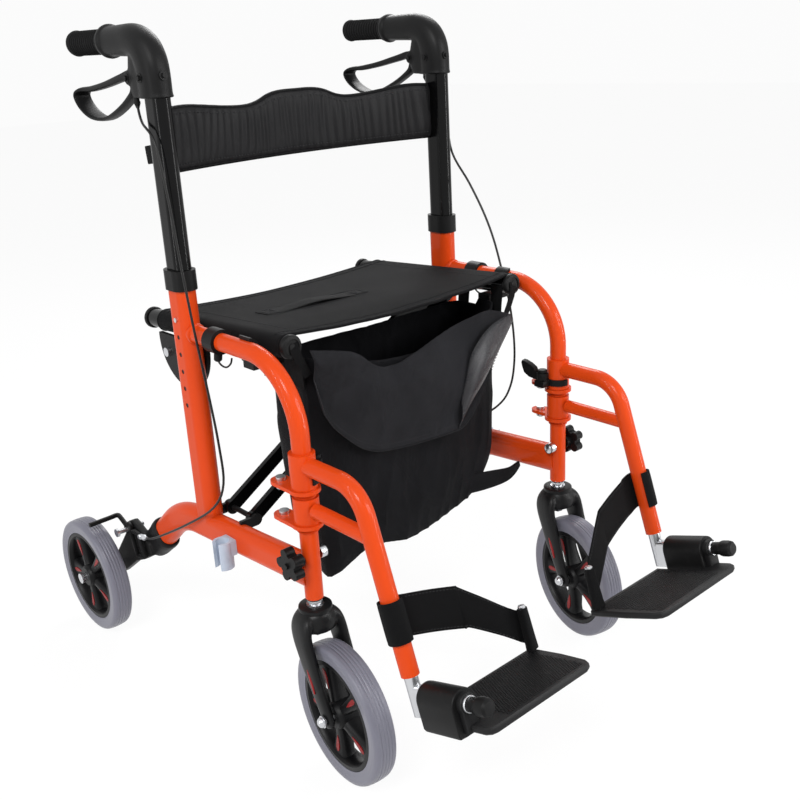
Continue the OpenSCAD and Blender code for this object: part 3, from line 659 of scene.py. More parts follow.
# High contrast: the weave tone paints strong crease shade and sheen into the bag's colour, and
# through replace into the flap's.
BAG_CLOTH = Finish("bag nylon", (0.0088, 0.0088, 0.0102), "bag_cloth", rough=0.55, sheen=0.01,
                   specular=0.05, texture=Texture.WEAVE, scale=420.0, bump=0.7, depth=0.0008,
                   contrast=0.9, crease=14.0)
FLAP_CLOTH = replace(BAG_CLOTH, name="bag flap nylon", color=(0.0175, 0.0175, 0.0200), rough=0.6,
                     sheen=0.02, specular=0.06, bump=0.75)
LINING = replace(BAG_CLOTH, name="bag flap lining", color=(0.016, 0.016, 0.019), rough=0.28,
                 sheen=0.0, specular=0.42, bump=0.4, depth=0.0006, contrast=0.3, crease=8.0)
BACK_CLOTH = Finish("backrest nylon", (0.0042, 0.0040, 0.0047), "back_cloth", rough=0.42,
                    sheen=0.01, specular=0.14, texture=Texture.WEAVE, scale=420.0, bump=0.2,
                    contrast=0.3)
BINDING = Finish("hem tape", (0.0050, 0.0050, 0.0054), "back_cloth", rough=0.62, specular=0.1,
                 texture=Texture.WEAVE, scale=700.0, bump=0.4, contrast=0.2)
WEBBING = Finish("strap webbing", (0.0042, 0.0042, 0.0046), "webbing", rough=0.75, sheen=0.02,
                 specular=0.08, texture=Texture.WEAVE, scale=520.0, bump=0.6, depth=0.0006,
                 contrast=0.3)
THREAD = Finish("stitch thread", (0.03, 0.03, 0.032), "webbing", rough=0.7, specular=0.1,
                scale=900.0, bump=0.1)

NODE_FINISHES: dict[str, Finish] = {
    "rear_post": ORANGE, "rail": ORANGE, "front_tube": ORANGE, "hanger": ORANGE,
    "handle_tube": BLACK_TUBE, "brake_arm": BLACK_TUBE, "seat_tube": BLACK_TUBE,
    "fittings": PLASTIC, "bracket": PLASTIC, "elbow": PLASTIC, "lever": PLASTIC,
    "latch": PLASTIC, "block": PLASTIC, "knob": PLASTIC, "cane_clip": GREY_CLIP,
    "bolts": STEEL, "leg": STEEL, "grip": GRIP, "cable": SHEATH, "fork": FORK,
    "tyre": TYRE, "rim": RIM, "footplate": PLATE, "strap": WEBBING, "brace_a": BLACK_TUBE,
    "brace_b": BLACK_TUBE, "sling": SEAT_CLOTH, "bag": BAG_CLOTH, "flap": FLAP_CLOTH,
    "backrest": BACK_CLOTH,
}


class Repeats:
    """Geometry node trees for what repeats: bolts, stitches, ribs and bars."""

    @staticmethod
    def _tree(name: str, sizes: dict[str, float]) -> tuple[bpy.types.NodeTree, Sockets]:
        """Starts a tree with its sizes and its finish.

        Args:
            name: tree name.
            sizes: names and defaults of its sizes.
        Returns:
            The tree and the sockets of its inputs.
        """
        tree = bpy.data.node_groups.new(name, "GeometryNodeTree")
        face = tree.interface
        face.new_socket("Geometry", in_out="INPUT", socket_type="NodeSocketGeometry")
        for label, value in sizes.items():
            sock = face.new_socket(label, in_out="INPUT", socket_type="NodeSocketFloat")
            sock.default_value = value
        face.new_socket("Finish", in_out="INPUT", socket_type="NodeSocketMaterial")
        face.new_socket("Geometry", in_out="OUTPUT", socket_type="NodeSocketGeometry")
        return tree, tree.nodes.new("NodeGroupInput").outputs

    @staticmethod
    def _along(tree: bpy.types.NodeTree, inp: Sockets) -> Feeds:
        """Points at even steps along the object's edges.

        Args:
            tree: the tree.
            inp: its inputs.
        Returns:
            The points and their turn.
        """
        curve = add_node(tree, "GeometryNodeMeshToCurve", {"Mesh": inp["Geometry"]})
        points = add_node(tree, "GeometryNodeCurveToPoints", {
            "Curve": curve.outputs["Curve"], "Length": inp["Pitch"]}, mode="LENGTH")
        return {key: points.outputs[key] for key in ("Points", "Rotation")}

    @staticmethod
    def _facing(tree: bpy.types.NodeTree, inp: Sockets) -> Feeds:
        """The object's points, each turned to its facing attribute.

        Args:
            tree: the tree.
            inp: its inputs.
        Returns:
            The points and their turn.
        """
        facing = add_node(tree, "GeometryNodeInputNamedAttribute", {"Name": "facing"},
                          data_type="FLOAT_VECTOR")
        align = add_node(tree, "FunctionNodeAlignRotationToVector", {
            "Vector": facing.outputs["Attribute"]}, axis="Z")
        return {"Points": inp["Geometry"], "Rotation": align.outputs["Rotation"]}

    @staticmethod
    def _spread(tree: bpy.types.NodeTree, inp: Sockets, feeds: Feeds) -> bpy.types.NodeTree:
        """Ends a tree: its form on all points, made real and painted.

        Args:
            tree: the tree.
            inp: its inputs.
            feeds: the points, their turn, the form and its scale.
        Returns:
            The tree.
        """
        spread = add_node(tree, "GeometryNodeInstanceOnPoints", feeds)
        real = add_node(tree, "GeometryNodeRealizeInstances", {
            "Geometry": spread.outputs["Instances"]})
        paint = add_node(tree, "GeometryNodeSetMaterial", {
            "Geometry": real.outputs["Geometry"], "Material": inp["Finish"]})
        add_node(tree, "NodeGroupOutput", {"Geometry": paint.outputs["Geometry"]})
        return tree

    @classmethod
    def bolts(cls) -> bpy.types.NodeTree:
        """Washer and hexagon head on every point, along its facing attribute.

        Returns:
            The tree.
        """
        tree, inp = cls._tree("bolts", {"Head": 0.005, "Rise": 0.004, "Washer": 0.0075})
        join = tree.nodes.new("GeometryNodeJoinGeometry")
        for label, corners, share, lift in (("Washer", 20, 0.28, 0.14), ("Head", 6, 1.0, 0.6)):
            high, up = (add_node(tree, "ShaderNodeMath", {0: inp["Rise"], 1: part},
                                 operation="MULTIPLY").outputs["Value"] for part in (share, lift))
            body = add_node(tree, "GeometryNodeMeshCylinder", {
                "Vertices": corners, "Radius": inp[label], "Depth": high})
            vec = add_node(tree, "ShaderNodeCombineXYZ", {"Z": up})
            move = add_node(tree, "GeometryNodeTransform", {
                "Geometry": body.outputs["Mesh"], "Translation": vec.outputs["Vector"]})
            tree.links.new(move.outputs["Geometry"], join.inputs["Geometry"])
        return cls._spread(tree, inp, {**cls._facing(tree, inp),
                                       "Instance": join.outputs["Geometry"]})

    @classmethod
    def stitches(cls) -> bpy.types.NodeTree:
        """Small rounded stitches along the object's edges.

        Returns:
            The tree.
        """
        tree, inp = cls._tree("stitches", {"Pitch": 0.006, "Length": 0.0018, "Width": 0.0006})
        bead = add_node(tree, "GeometryNodeMeshUVSphere", {"Segments": 6, "Rings": 4,
                                                           "Radius": 1.0})
        size = add_node(tree, "ShaderNodeCombineXYZ", {"X": inp["Width"], "Y": inp["Width"],
                                                       "Z": inp["Length"]})
        return cls._spread(tree, inp, {**cls._along(tree, inp), "Instance": bead.outputs["Mesh"],
                                       "Scale": size.outputs["Vector"]})

    @classmethod
    def ribs(cls) -> bpy.types.NodeTree:
        """Round rings at even steps along the object's edge, as on a ribbed grip.

        Returns:
            The tree.
        """
        tree, inp = cls._tree("ribs", {"Pitch": 0.006, "Ring": 0.016, "Bead": 0.0014})
        ring, bead = (add_node(tree, "GeometryNodeCurvePrimitiveCircle", {
            "Resolution": points, "Radius": inp[label]}).outputs["Curve"]
            for label, points in (("Ring", 32), ("Bead", 8)))
        skin = add_node(tree, "GeometryNodeCurveToMesh", {"Curve": ring, "Profile Curve": bead})
        return cls._spread(tree, inp, {**cls._along(tree, inp), "Instance": skin.outputs["Mesh"]})

    @classmethod
    def bars(cls) -> bpy.types.NodeTree:
        """Low bars on every point, along its facing attribute.

        Returns:
            The tree.
        """
        tree, inp = cls._tree("bars", {"Length": 0.14, "Width": 0.0014, "Rise": 0.001})
        size = add_node(tree, "ShaderNodeCombineXYZ", {"X": inp["Length"], "Y": inp["Width"],
                                                       "Z": inp["Rise"]})
        bar = add_node(tree, "GeometryNodeMeshCube", {"Size": size.outputs["Vector"]})
        return cls._spread(tree, inp, {**cls._facing(tree, inp), "Instance": bar.outputs["Mesh"]})

    @staticmethod
    def run(name: str, make: Callable[[], bpy.types.NodeTree], verts: Sequence[Triple],
            edges: Sequence[tuple[int, int]], sizes: dict[str, float], finish: Finish,
            facing: Sequence[Triple] = ()) -> bpy.types.Object:
        """Runs a tree on points or edges and keeps the result as a plain mesh.

        Args:
            name: object name.
            make: the method that builds the tree, which has the tree's name.
            verts: points in the chair's frame.
            edges: edges between them.
            sizes: values for the tree's named inputs.
            finish: the finish of the result.
            facing: a direction for each point, where the tree reads one.
        Returns:
            The finished object.
        """
        data = bpy.data.meshes.new(name)
        data.from_pydata([tuple(v) for v in verts], list(edges), [])
        if facing:
            layer = data.attributes.new("facing", "FLOAT_VECTOR", "POINT")
            for item, value in zip(layer.data, facing):
                item.vector = value
        carrier = link(name + ".points", data)
        mod = carrier.modifiers.new("repeat", "NODES")
        tree = mod.node_group = bpy.data.node_groups.get(make.__name__) or make()
        for item in tree.interface.items_tree:
            if item.item_type == "SOCKET" and item.in_out == "INPUT":
                if item.name in sizes:
                    mod[item.identifier] = sizes[item.name]
                elif item.name == "Finish":
                    mod[item.identifier] = finish.material()
        deps = bpy.context.evaluated_depsgraph_get()
        mesh = bpy.data.meshes.new_from_object(carrier.evaluated_get(deps))
        bpy.data.objects.remove(carrier)
        return put(name, mesh, finish, 35.0)

    @classmethod
    def stitch_line(cls, name: str, lines: Sequence[Sequence[Vector]], pitch: float = 0.006
                    ) -> bpy.types.Object:
        """Sews stitches along several lines as one piece.

        Args:
            name: object name.
            lines: the lines.
            pitch: distance between stitches.
        Returns:
            The stitches.
        """
        verts: list[Triple] = []
        edges: list[tuple[int, int]] = []
        for line in lines:
            base = len(verts)
            verts += [tuple(p) for p in line]
            edges += [(base + i, base + i + 1) for i in range(len(line) - 1)]
        return cls.run(name, cls.stitches, verts, edges, {"Pitch": pitch}, THREAD)


def ride(obj: bpy.types.Object, body: str, finish: Finish, *nodes: str) -> bpy.types.Object:
    """Seats a piece on a body and the nodes it stands for.

    Args:
        obj: the piece.
        body: the body it moves with.
        finish: not used.
        nodes: nodes it replaces.
    Returns:
        The piece.
    """
    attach(obj, body)
    if nodes:
        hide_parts(*nodes)
    return obj


def blend_shape(obj: bpy.types.Object, voxel: float, rounds: int) -> bpy.types.Object:
    """Melts a piece's overlapping forms into one moulded skin.

    Args:
        obj: the piece.
        voxel: grid size of the new skin.
        rounds: smoothing rounds.
    Returns:
        The piece with a plain mesh.
    """
    skin = obj.modifiers.new("melt", "REMESH")
    skin.mode, skin.voxel_size, skin.use_smooth_shade = "VOXEL", voxel, True
    ease = obj.modifiers.new("ease", "SMOOTH")
    ease.factor, ease.iterations = 0.5, rounds
    return settle(obj)


def fit(side: Side, name: str, shape: Shape, finish: Finish, body: str, *nodes: str,
        flat_angle: float = 40.0, melt: tuple[float, int] | None = None) -> bpy.types.Object:
    """Makes one side's piece from a shape drawn on the left and seats it.

    Args:
        side: the side, whose label comes before every name.
        name: piece name.
        shape: its shape.
        finish: its finish.
        body: the body it moves with.
        nodes: nodes it replaces.
        flat_angle: edges sharper than this stay sharp, in degrees.
        melt: grid size and smoothing rounds, where its forms become one skin.
    Returns:
        The piece.
    """
    label = side.label
    obj = put(f"{label}_{name}", shape.mesh(name, side.flip), finish, flat_angle)
    if melt:
        blend_shape(obj, *melt)
    return ride(obj, f"{label}_{body}", finish, *(f"{label}_{node}" for node in nodes))


@dataclass
class Studio:
    """Camera at the photograph's place, soft lamps, pale floor and world."""

    place: Triple = (-0.92611, -1.13822, 0.95128)
    azimuth: float = -40.88
    elevation: float = 19.87
    roll: float = -3.1
    lens: float = 45.203
    floor_half: float = 14.0
    world_light: float = 0.30
    world_seen: float = 0.968
    floor_seen: float = 1.03
    floor_share: float = 0.90

    def camera(self) -> None:
        """Makes the camera."""
        az, el, ro = (math.radians(v) for v in (self.azimuth, self.elevation, self.roll))
        look = Vector((-math.sin(az) * math.cos(el), math.cos(az) * math.cos(el), -math.sin(el)))
        right = Vector((math.cos(az), math.sin(az), 0))
        up = right.cross(look)
        r2 = right * math.cos(ro) + up * math.sin(ro)
        u2 = up * math.cos(ro) - right * math.sin(ro)
        data = bpy.data.cameras.new("camera")
        data.sensor_width, data.lens = 36.0, self.lens
        data.clip_end = 60.0
        cam = link("camera", data)
        turn = Matrix((r2, u2, -look)).transposed().to_4x4()
        cam.matrix_world = Matrix.Translation(self.place) @ turn
        bpy.context.scene.camera = cam

    def lamps(self) -> None:
        """Makes the lamps and the world."""
        scene = bpy.context.scene
        scene.view_settings.view_transform = "Standard"
        world = bpy.data.worlds.new("studio")
        world.use_nodes = True
        tree = world.node_tree
        back, seen = tree.nodes["Background"], tree.nodes.new("ShaderNodeBackground")
        for node, strength in ((back, self.world_light), (seen, self.world_seen)):
            feed(tree, node, {"Color": (1.0, 1.0, 1.0, 1.0), "Strength": strength})
        mix = add_node(tree, "ShaderNodeMixShader", {
            "Fac": self._seen_rays(tree), 1: back.outputs["Background"],
            2: seen.outputs["Background"]})
        feed(tree, tree.nodes["World Output"], {"Surface": mix.outputs["Shader"]})
        scene.world = world
        for name, spot, size, power in (("key", (-2.3, -1.5, 2.9), 1.1, 78.0),
                                        ("front", (0.9, -3.0, 1.9), 1.2, 40.0),
                                        ("rim", (1.8, 1.7, 2.4), 1.2, 42.0)):
            self._lamp(name, spot, (size, size), power)
        self._lamp("strip", (1.75, -2.1, 1.1), (0.16, 2.2), 26.0)
        self._lamp("near strip", (-2.4, 0.2, 1.2), (0.16, 2.2), 16.0)

    @staticmethod
    def _seen_rays(tree: bpy.types.NodeTree) -> bpy.types.NodeSocket:
        """Mask of the rays that show the white background.

        Args:
            tree: node tree of the world or of the floor's material.
        Returns:
            A socket that is one for camera, glossy and transmission rays.
        """
        path = tree.nodes.new("ShaderNodeLightPath")
        mask = path.outputs["Is Camera Ray"]
        for label in ("Is Glossy Ray", "Is Transmission Ray"):
            mask = add_node(tree, "ShaderNodeMath", {0: mask, 1: path.outputs[label]},
                            operation="MAXIMUM").outputs["Value"]
        return mask

    @staticmethod
    def _lamp(name: str, spot: Triple, size: tuple[float, float], power: float) -> None:
        """Hangs one soft lamp aimed at the chair's middle.

        Args:
            name: lamp name.
            spot: its place.
            size: width and height.
            power: power in watts.
        """
        data = bpy.data.lights.new(name, "AREA")
        data.shape, data.energy = "RECTANGLE", power
        data.size, data.size_y = size
        lamp = link(name, data)
        lamp.location = spot
        aim = Vector((0.0, 0.0, 0.5)) - Vector(spot)
        lamp.rotation_euler = aim.to_track_quat("-Z", "Y").to_euler()

    def floor(self) -> None:
        """Makes the pale floor, white where the camera sees it unshaded."""
        h = self.floor_half
        data = bpy.data.meshes.new("floor")
        data.from_pydata([(-h, -h, 0), (h, -h, 0), (h, h, 0), (-h, h, 0)], [], [(0, 1, 2, 3)])
        obj = link("floor", data)
        mat = bpy.data.materials.new("pale floor")
        mat.use_nodes = True
        tree = mat.node_tree
        shader = tree.nodes["Principled BSDF"]
        feed(tree, shader, {"Base Color": (0.86, 0.86, 0.86, 1.0), "Roughness": 0.95,
                            "Specular IOR Level": 0.1})
        glow = add_node(tree, "ShaderNodeEmission", {"Strength": self.floor_seen})
        share = add_node(tree, "ShaderNodeMath", {0: self._seen_rays(tree), 1: self.floor_share},
                         operation="MULTIPLY")
        mix = add_node(tree, "ShaderNodeMixShader", {
            "Fac": share.outputs["Value"], 1: shader.outputs["BSDF"],
            2: glow.outputs["Emission"]})
        feed(tree, tree.nodes["Material Output"], {"Surface": mix.outputs["Shader"]})
        data.materials.append(mat)


@dataclass
class BrakeCable:
    """Sheathed cable from the elbow's foot down to the rear brake."""

    side: Side
    radius: float = 0.0018
    head: tuple[Triple, ...] = ((0.262, 0.128, 0.8957), (0.263, 0.126, 0.884),
                                (0.269, 0.108, 0.862))
    tail: tuple[Triple, ...] = ((0.283, 0.220, 0.216), (0.281, 0.262, 0.199),
                                (0.2805, 0.2837, 0.195))
    near: tuple[Triple, ...] = (
        (0.272, 0.076, 0.838), (0.272, 0.060, 0.770), (0.271, 0.050, 0.680),
        (0.270, 0.038, 0.590), (0.269, 0.022, 0.500), (0.2685, 0.012, 0.430),
        (0.2685, 0.012, 0.370), (0.2695, 0.046, 0.322), (0.276, 0.120, 0.272))
    far: tuple[Triple, ...] = (
        (0.272, 0.092, 0.822), (0.272, 0.080, 0.766), (0.271, 0.042, 0.720),
        (0.270, 0.010, 0.675), (0.270, -0.012, 0.632), (0.270, -0.030, 0.580),
        (0.270, -0.046, 0.525), (0.269, -0.055, 0.470), (0.2685, -0.055, 0.425),
        (0.2685, -0.046, 0.385), (0.269, -0.024, 0.350), (0.2695, 0.022, 0.316),
        (0.276, 0.110, 0.280))

    @property
    def points(self) -> tuple[Triple, ...]:
        """Control points from the elbow to the brake, on the left side."""
        return self.head + (self.near if self.side.flip else self.far) + self.tail

    def build(self) -> bpy.types.Object:
        """Returns:
            The cable.
        """
        name = self.side.label
        path = smooth_path([(self.side.value * x, y, z) for x, y, z in self.points], 5)
        obj = put(f"{name}_brake_cable", Shape().tube(path, self.radius, 10).mesh("cable"), SHEATH)
        ride(obj, f"{name}_frame", SHEATH, f"{name}_cable")
        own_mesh(obj)
        return obj


@dataclass
class Handle:
    """Elbow, ribbed grip and loop lever at the top of a handle tube."""

    side: Side
    x: float = 0.252
    grip_z: float = 0.965
    elbow_path: Outline = (
        (0.0925, 0.892), (0.0925, 0.905), (0.0928, 0.920), (0.0955, 0.936), (0.1030, 0.950),
        (0.1150, 0.959), (0.1320, 0.9642), (0.1520, 0.965), (0.1760, 0.965), (0.1960, 0.965))
    lever_path: Outline = (
        (0.146, 0.922), (0.180, 0.9175), (0.228, 0.909), (0.272, 0.9035), (0.300, 0.902),
        (0.312, 0.894), (0.302, 0.880), (0.280, 0.868), (0.254, 0.8625), (0.226, 0.865),
        (0.192, 0.876), (0.162, 0.890), (0.146, 0.902))

    def build(self) -> None:
        """Makes and seats all pieces of the handle."""
        side, label, sign = self.side, self.side.label, self.side.value
        body, x = f"{label}_handle", self.x * sign
        fit(side, "elbow_shell", self._elbow(), PLASTIC, "handle", "elbow", melt=(0.0013, 14))
        fit(side, "grip_sleeve", self._grip(), GRIP, "handle", "grip")
        line = [(x, 0.2165, self.grip_z), (x, 0.2935, self.grip_z)]
        ribs = Repeats.run(f"{label}_grip_ribs", Repeats.ribs, line, [(0, 1)],
                           {"Pitch": 0.0064, "Ring": 0.0156, "Bead": 0.0013}, GRIP)
        ride(ribs, body, GRIP)
        fit(side, "loop_lever", self._lever(), PLASTIC, "brake_lever", "lever")
        heads = [(x + sign * 0.0192, 0.095, 0.918), (x - sign * 0.0192, 0.095, 0.918),
                 (x + sign * 0.0160, 0.136, 0.918), (x - sign * 0.0160, 0.136, 0.918),
                 (x, 0.0672, 0.920)]
        facing = [(sign, 0, 0), (-sign, 0, 0), (sign, 0, 0), (-sign, 0, 0), (0, -1, 0.1)]
        bolts = Repeats.run(f"{label}_elbow_screws", Repeats.bolts, heads, [],
                            {"Head": 0.0034, "Rise": 0.0034, "Washer": 0.0062}, PLASTIC, facing)
        ride(bolts, body, PLASTIC)
        ferrule = Shape().lathe([(0.0, 0), (0.0046, 0), (0.0046, 0.004), (0.0038, 0.005),
                                 (0.0038, 0.010), (0.0044, 0.0105), (0.0044, 0.013),
                                 (0.003, 0.0165), (0.0022, 0.019), (0.0, 0.019)],
                                (0.262, 0.128, 0.8985), (0.05, -0.12, -1), 20)
        fit(side, "cable_ferrule", ferrule, PLASTIC, "handle")

    def _elbow(self) -> Shape:
        """Smooth elbow with a collar and the lever's housing.

        Returns:
            The shape.
        """
        path = smooth_path([(self.x, y, z) for y, z in self.elbow_path], 5)
        size = by_stops([(0, 0.0255), (0.25, 0.0250), (0.55, 0.0215), (1, 0.0195)],
                        [(0, 0.0192), (0.5, 0.0203), (1, 0.0195)])
        lip, lip_end = 0.0012, 0.03
        shape = Shape().sweep(
            path, lambda t: tuple(v + (lip if t < lip_end else 0.0) for v in size(t)),
            ACROSS, 28, power=2.3)
        shape.lathe([(0.0, 0), (0.0198, 0), (0.0222, 0.002), (0.0228, 0.005), (0.0222, 0.009),
                     (0.0205, 0.0115), (0.0, 0.0115)], (self.x, 0.193, self.grip_z), BACK, 32)
        house = [Vector((self.x, 0.108, z)) for z in (0.893, 0.900, 0.910, 0.925, 0.942, 0.954)]
        box = by_stops([(0, 0.0165)], [(0, 0.026), (0.25, 0.034), (0.6, 0.0355), (1, 0.024)])
        shape.sweep(house, box, BACK, 24, power=3.2)
        shape.lathe([(0.0, -0.0165), (0.0080, -0.0165), (0.0095, -0.015), (0.0095, 0.015),
                     (0.0080, 0.0165), (0.0, 0.0165)], (self.x, 0.136, 0.918), ACROSS, 24)
        return shape

    def _grip(self) -> Shape:
        """Rubber sleeve with flange and rounded end.

        Returns:
            The shape.
        """
        profile = [(0.0, 0.0), (0.0192, 0.0), (0.0200, 0.0015), (0.0194, 0.005), (0.0168, 0.0075),
                   (0.0154, 0.010), (0.0154, 0.088), (0.0172, 0.0905), (0.0178, 0.094),
                   (0.0170, 0.0975), (0.0135, 0.0992), (0.0, 0.0994)]
        return Shape().lathe(profile, (self.x, 0.2046, self.grip_z), BACK, 36)

    def _lever(self) -> Shape:
        """Loop with slim arms and a wide curved paddle.

        Returns:
            The shape.
        """
        path = smooth_path([(self.x, y, z) for y, z in self.lever_path], 5, loop=True)
        size = by_stops([(0, 0.0058), (0.2, 0.0042), (0.36, 0.0030), (0.6, 0.0028), (0.8, 0.0036),
                         (1, 0.0058)], [(0, 0.0072), (0.22, 0.0078), (0.36, 0.0135),
                                        (0.58, 0.0135), (0.72, 0.0085), (1, 0.0072)])
        return Shape().sweep(path, size, ACROSS, 16, loop=True, power=2.8)


@dataclass
class Wheel:
    """Ribbed tyre on a spoked rim with red inserts, for any wheel."""

    name: str
    body: str
    centre: Triple
    turn: float = 0.0
    radius: float = 0.0780
    spokes: int = 5
    first_spoke: float = 0.131
    crown: float = 0.0999
    groove: float = 0.0004
    rib_places: tuple[float, ...] = (-0.0094, -0.0047, 0.0, 0.0047, 0.0094)

    def build(self) -> None:
        """Makes the tyre, the rim and its inserts."""
        place = (Matrix.Translation(self.centre) @ Matrix.Rotation(self.turn, 4, "Z")
                 @ Matrix.Rotation(math.pi / 2, 4, "Y"))
        rim = Shape()
        r = self.radius
        rim.lathe([(r - 0.0005, -0.0145), (r, -0.0135), (r, 0.0135), (r - 0.0005, 0.0145),
                   (r - 0.006, 0.0150), (r - 0.0085, 0.0120), (r - 0.0095, 0.004),
                   (r - 0.0095, -0.004), (r - 0.0085, -0.0120), (r - 0.006, -0.0150)],
                  ORIGIN, UP, 64)
        rim.lathe([(0.006, -0.019), (0.016, -0.019), (0.0185, -0.0165), (0.020, -0.010),
                   (0.020, 0.010), (0.0185, 0.0165), (0.016, 0.019), (0.006, 0.019)],
                  ORIGIN, UP, 32)
        inserts = Shape()
        for i in range(self.spokes):
            turn = Matrix.Rotation(2 * math.pi * i / self.spokes + self.first_spoke, 4, "Z")
            self._spoke(rim, inserts, turn)
        wall = [(0.0782, 0.0150), (0.0840, 0.0154), (0.0905, 0.0168), (0.0950, 0.0164),
                (0.0978, 0.0146), (0.0988, 0.0126)]
        tread = []
        for z in self.rib_places:
            high = self.crown - 8.0 * z * z
            low = high - self.groove
            tread += [(low, z - 0.0022), (high, z - 0.0017), (high, z + 0.0017), (low, z + 0.0022)]
        tyre = Shape().lathe([(r, -z) for r, z in wall] + tread + wall[::-1], ORIGIN, UP, 96)
        for shape, suffix, finish, nodes in (
                (rim, "rim_spokes", RIM, [f"{self.name}_rim"]), (inserts, "rim_inserts", RED, []),
                (tyre, "tyre_tread", TYRE, [f"{self.name}_tyre"])):
            shape.verts = [place @ v for v in shape.verts]
            obj = put(f"{self.name}_{suffix}", shape.mesh(suffix), finish)
            ride(obj, self.body, finish, *nodes)

    def _spoke(self, rim: Shape, inserts: Shape, turn: Matrix) -> None:
        """Adds one wide spoke with a red teardrop on both faces.

        Args:
            rim: shape that takes the spoke.
            inserts: shape that takes the teardrops.
            turn: the spoke's turn about the axle.
        """
        stops = [(0.012, 0.0085, 0.0150), (0.024, 0.0075, 0.0130), (0.040, 0.0098, 0.0112),
                 (0.056, 0.0128, 0.0105), (0.067, 0.0165, 0.0112), (0.0705, 0.0210, 0.0115)]
        rim.loft([[turn @ Vector((run, half * c, deep * s)) for c, s in oval(16, 0.6)]
                  for run, half, deep in stops])
        for face in (-1, 1):
            outline = [(0.036, 0.0), (0.042, 0.0018), (0.050, 0.0034), (0.059, 0.0040),
                       (0.0640, 0.0024), (0.0652, 0.0), (0.0640, -0.0024), (0.059, -0.0040),
                       (0.050, -0.0034), (0.042, -0.0018)]
            low, high = [], []
            for x, y in outline:
                deep = blend_values([(0.024, 0.0130), (0.040, 0.0112), (0.070, 0.0108)], x)
                low.append(turn @ Vector((x, y, face * (deep - 0.003))))
                high.append(turn @ Vector((x, y * 0.86, face * (deep + 0.0007))))
            inserts.loft([low, high])


@dataclass
class Caster:
    """Moulded fork with round crown, red slot, nut and acorn bolts."""

    side: Side
    turn: float
    stem: Triple = (0.252, -0.163, 0.0)
    trail: float = 0.055
    wheel_z: float = 0.100

    def place(self) -> Matrix:
        """Frame of the stem: X across the fork, -Y to the wheel.

        Returns:
            The matrix.
        """
        x, y, z = self.stem
        return (Matrix.Translation((self.side.value * x, y, z))
                @ Matrix.Rotation(self.turn, 4, "Z"))

    def build(self) -> None:
        """Makes the fork and its hardware and dresses its wheel."""
        label, at = self.side.label, self.place()
        for shape, suffix, finish, nodes in (
                (self._fork(), "fork_shell", FORK, [f"{label}_fork"]),
                (self._cap(), "fork_cap", FORK, []), (self._slots(), "fork_slots", RED, []),
                (self._hardware(), "fork_hardware", STEEL, [])):
            shape.verts = [at @ v for v in shape.verts]
            obj = put(f"{label}_{suffix}", shape.mesh(suffix), finish)
            if nodes:
                blend_shape(obj, 0.0014, 10)
            ride(obj, f"{label}_caster", finish, *nodes)
        centre = at @ Vector((0, -self.trail, self.wheel_z))
        Wheel(f"{label}_front", f"{label}_front_wheel", tuple(centre), self.turn).build()

    @staticmethod
    def _fork() -> Shape:
        """Crown that flows into two arched legs.

        Returns:
            The shape.
        """
        shape = Shape()
        shape.lathe([(0.0, 0.2385), (0.0200, 0.2380), (0.0245, 0.2330), (0.0275, 0.2260),
                     (0.0285, 0.2180), (0.0265, 0.2100), (0.0200, 0.2060), (0.0, 0.2060)],
                    ORIGIN, UP, 36)
        size = by_stops([(0, 0.0200), (0.2, 0.0235), (0.4, 0.0190), (0.7, 0.0130), (0.9, 0.0125),
                         (1, 0.0070)], [(0, 0.013), (0.3, 0.0076), (0.9, 0.0054), (1, 0.004)])
        for s in (-1, 1):
            path = smooth_path([(s * 0.010, 0.001, 0.2270), (s * 0.0215, 0.000, 0.2200),
                                (s * 0.0275, -0.006, 0.2030), (s * 0.0280, -0.019, 0.1740),
                                (s * 0.0274, -0.034, 0.1420), (s * 0.0268, -0.047, 0.1150),
                                (s * 0.0265, -0.055, 0.0985), (s * 0.0265, -0.0600, 0.0885)], 5)
            shape.sweep(path, size, ACROSS, 20, power=2.6)
        return shape

    @staticmethod
    def _cap() -> Shape:
        """Flat round cap on the crown.

        Returns:
            The shape.
        """
        return Shape().lathe([(0.0, 0.2415), (0.0210, 0.2415), (0.0228, 0.2405), (0.0232, 0.2385),
                              (0.0228, 0.2352), (0.0212, 0.2345), (0.0, 0.2345)],
                             ORIGIN, UP, 36)

    @staticmethod
    def _slots() -> Shape:
        """Red slots on the outer faces of the legs.

        Returns:
            The shape.
        """
        shape = Shape()
        for s in (-1, 1):
            path = [Vector((s * 0.0342, y, z)) for y, z in
                    ((-0.0240, 0.1650), (-0.0285, 0.1550), (-0.0335, 0.1440), (-0.0380, 0.1340))]
            shape.sweep(path, lambda t: (0.0034 * math.sin(math.pi * (0.15 + 0.7 * t)), 0.0011),
                        ACROSS, 12)
        return shape

    def _hardware(self) -> Shape:
        """Stem nut, washer and the axle's acorn caps.

        Returns:
            The shape.
        """
        shape = Shape()
        shape.lathe([(0.0, 0.2405), (0.0118, 0.2405), (0.0118, 0.2432), (0.0086, 0.2436),
                     (0.0086, 0.2468), (0.0105, 0.2470), (0.0105, 0.2500), (0.0078, 0.2502),
                     (0.0078, 0.2535), (0.0, 0.2536)], ORIGIN, UP, 24)
        shape.lathe([(0.0, 0.1975), (0.0085, 0.1975), (0.0085, 0.2055), (0.0, 0.2058)],
                    ORIGIN, UP, 6)
        for s in (-1, 1):
            shape.lathe([(0.0, 0.0), (0.0085, 0.0), (0.0085, 0.0016), (0.0070, 0.0018),
                         (0.0068, 0.0048), (0.0052, 0.0070), (0.0026, 0.0084), (0.0, 0.0088)],
                        (s * 0.0342, -self.trail, self.wheel_z), (s, 0, 0), 24)
        shape.lathe([(0.0, -0.034), (0.0049, -0.034), (0.0049, 0.034), (0.0, 0.034)],
                    (0, -self.trail, self.wheel_z), ACROSS, 16)
        return shape


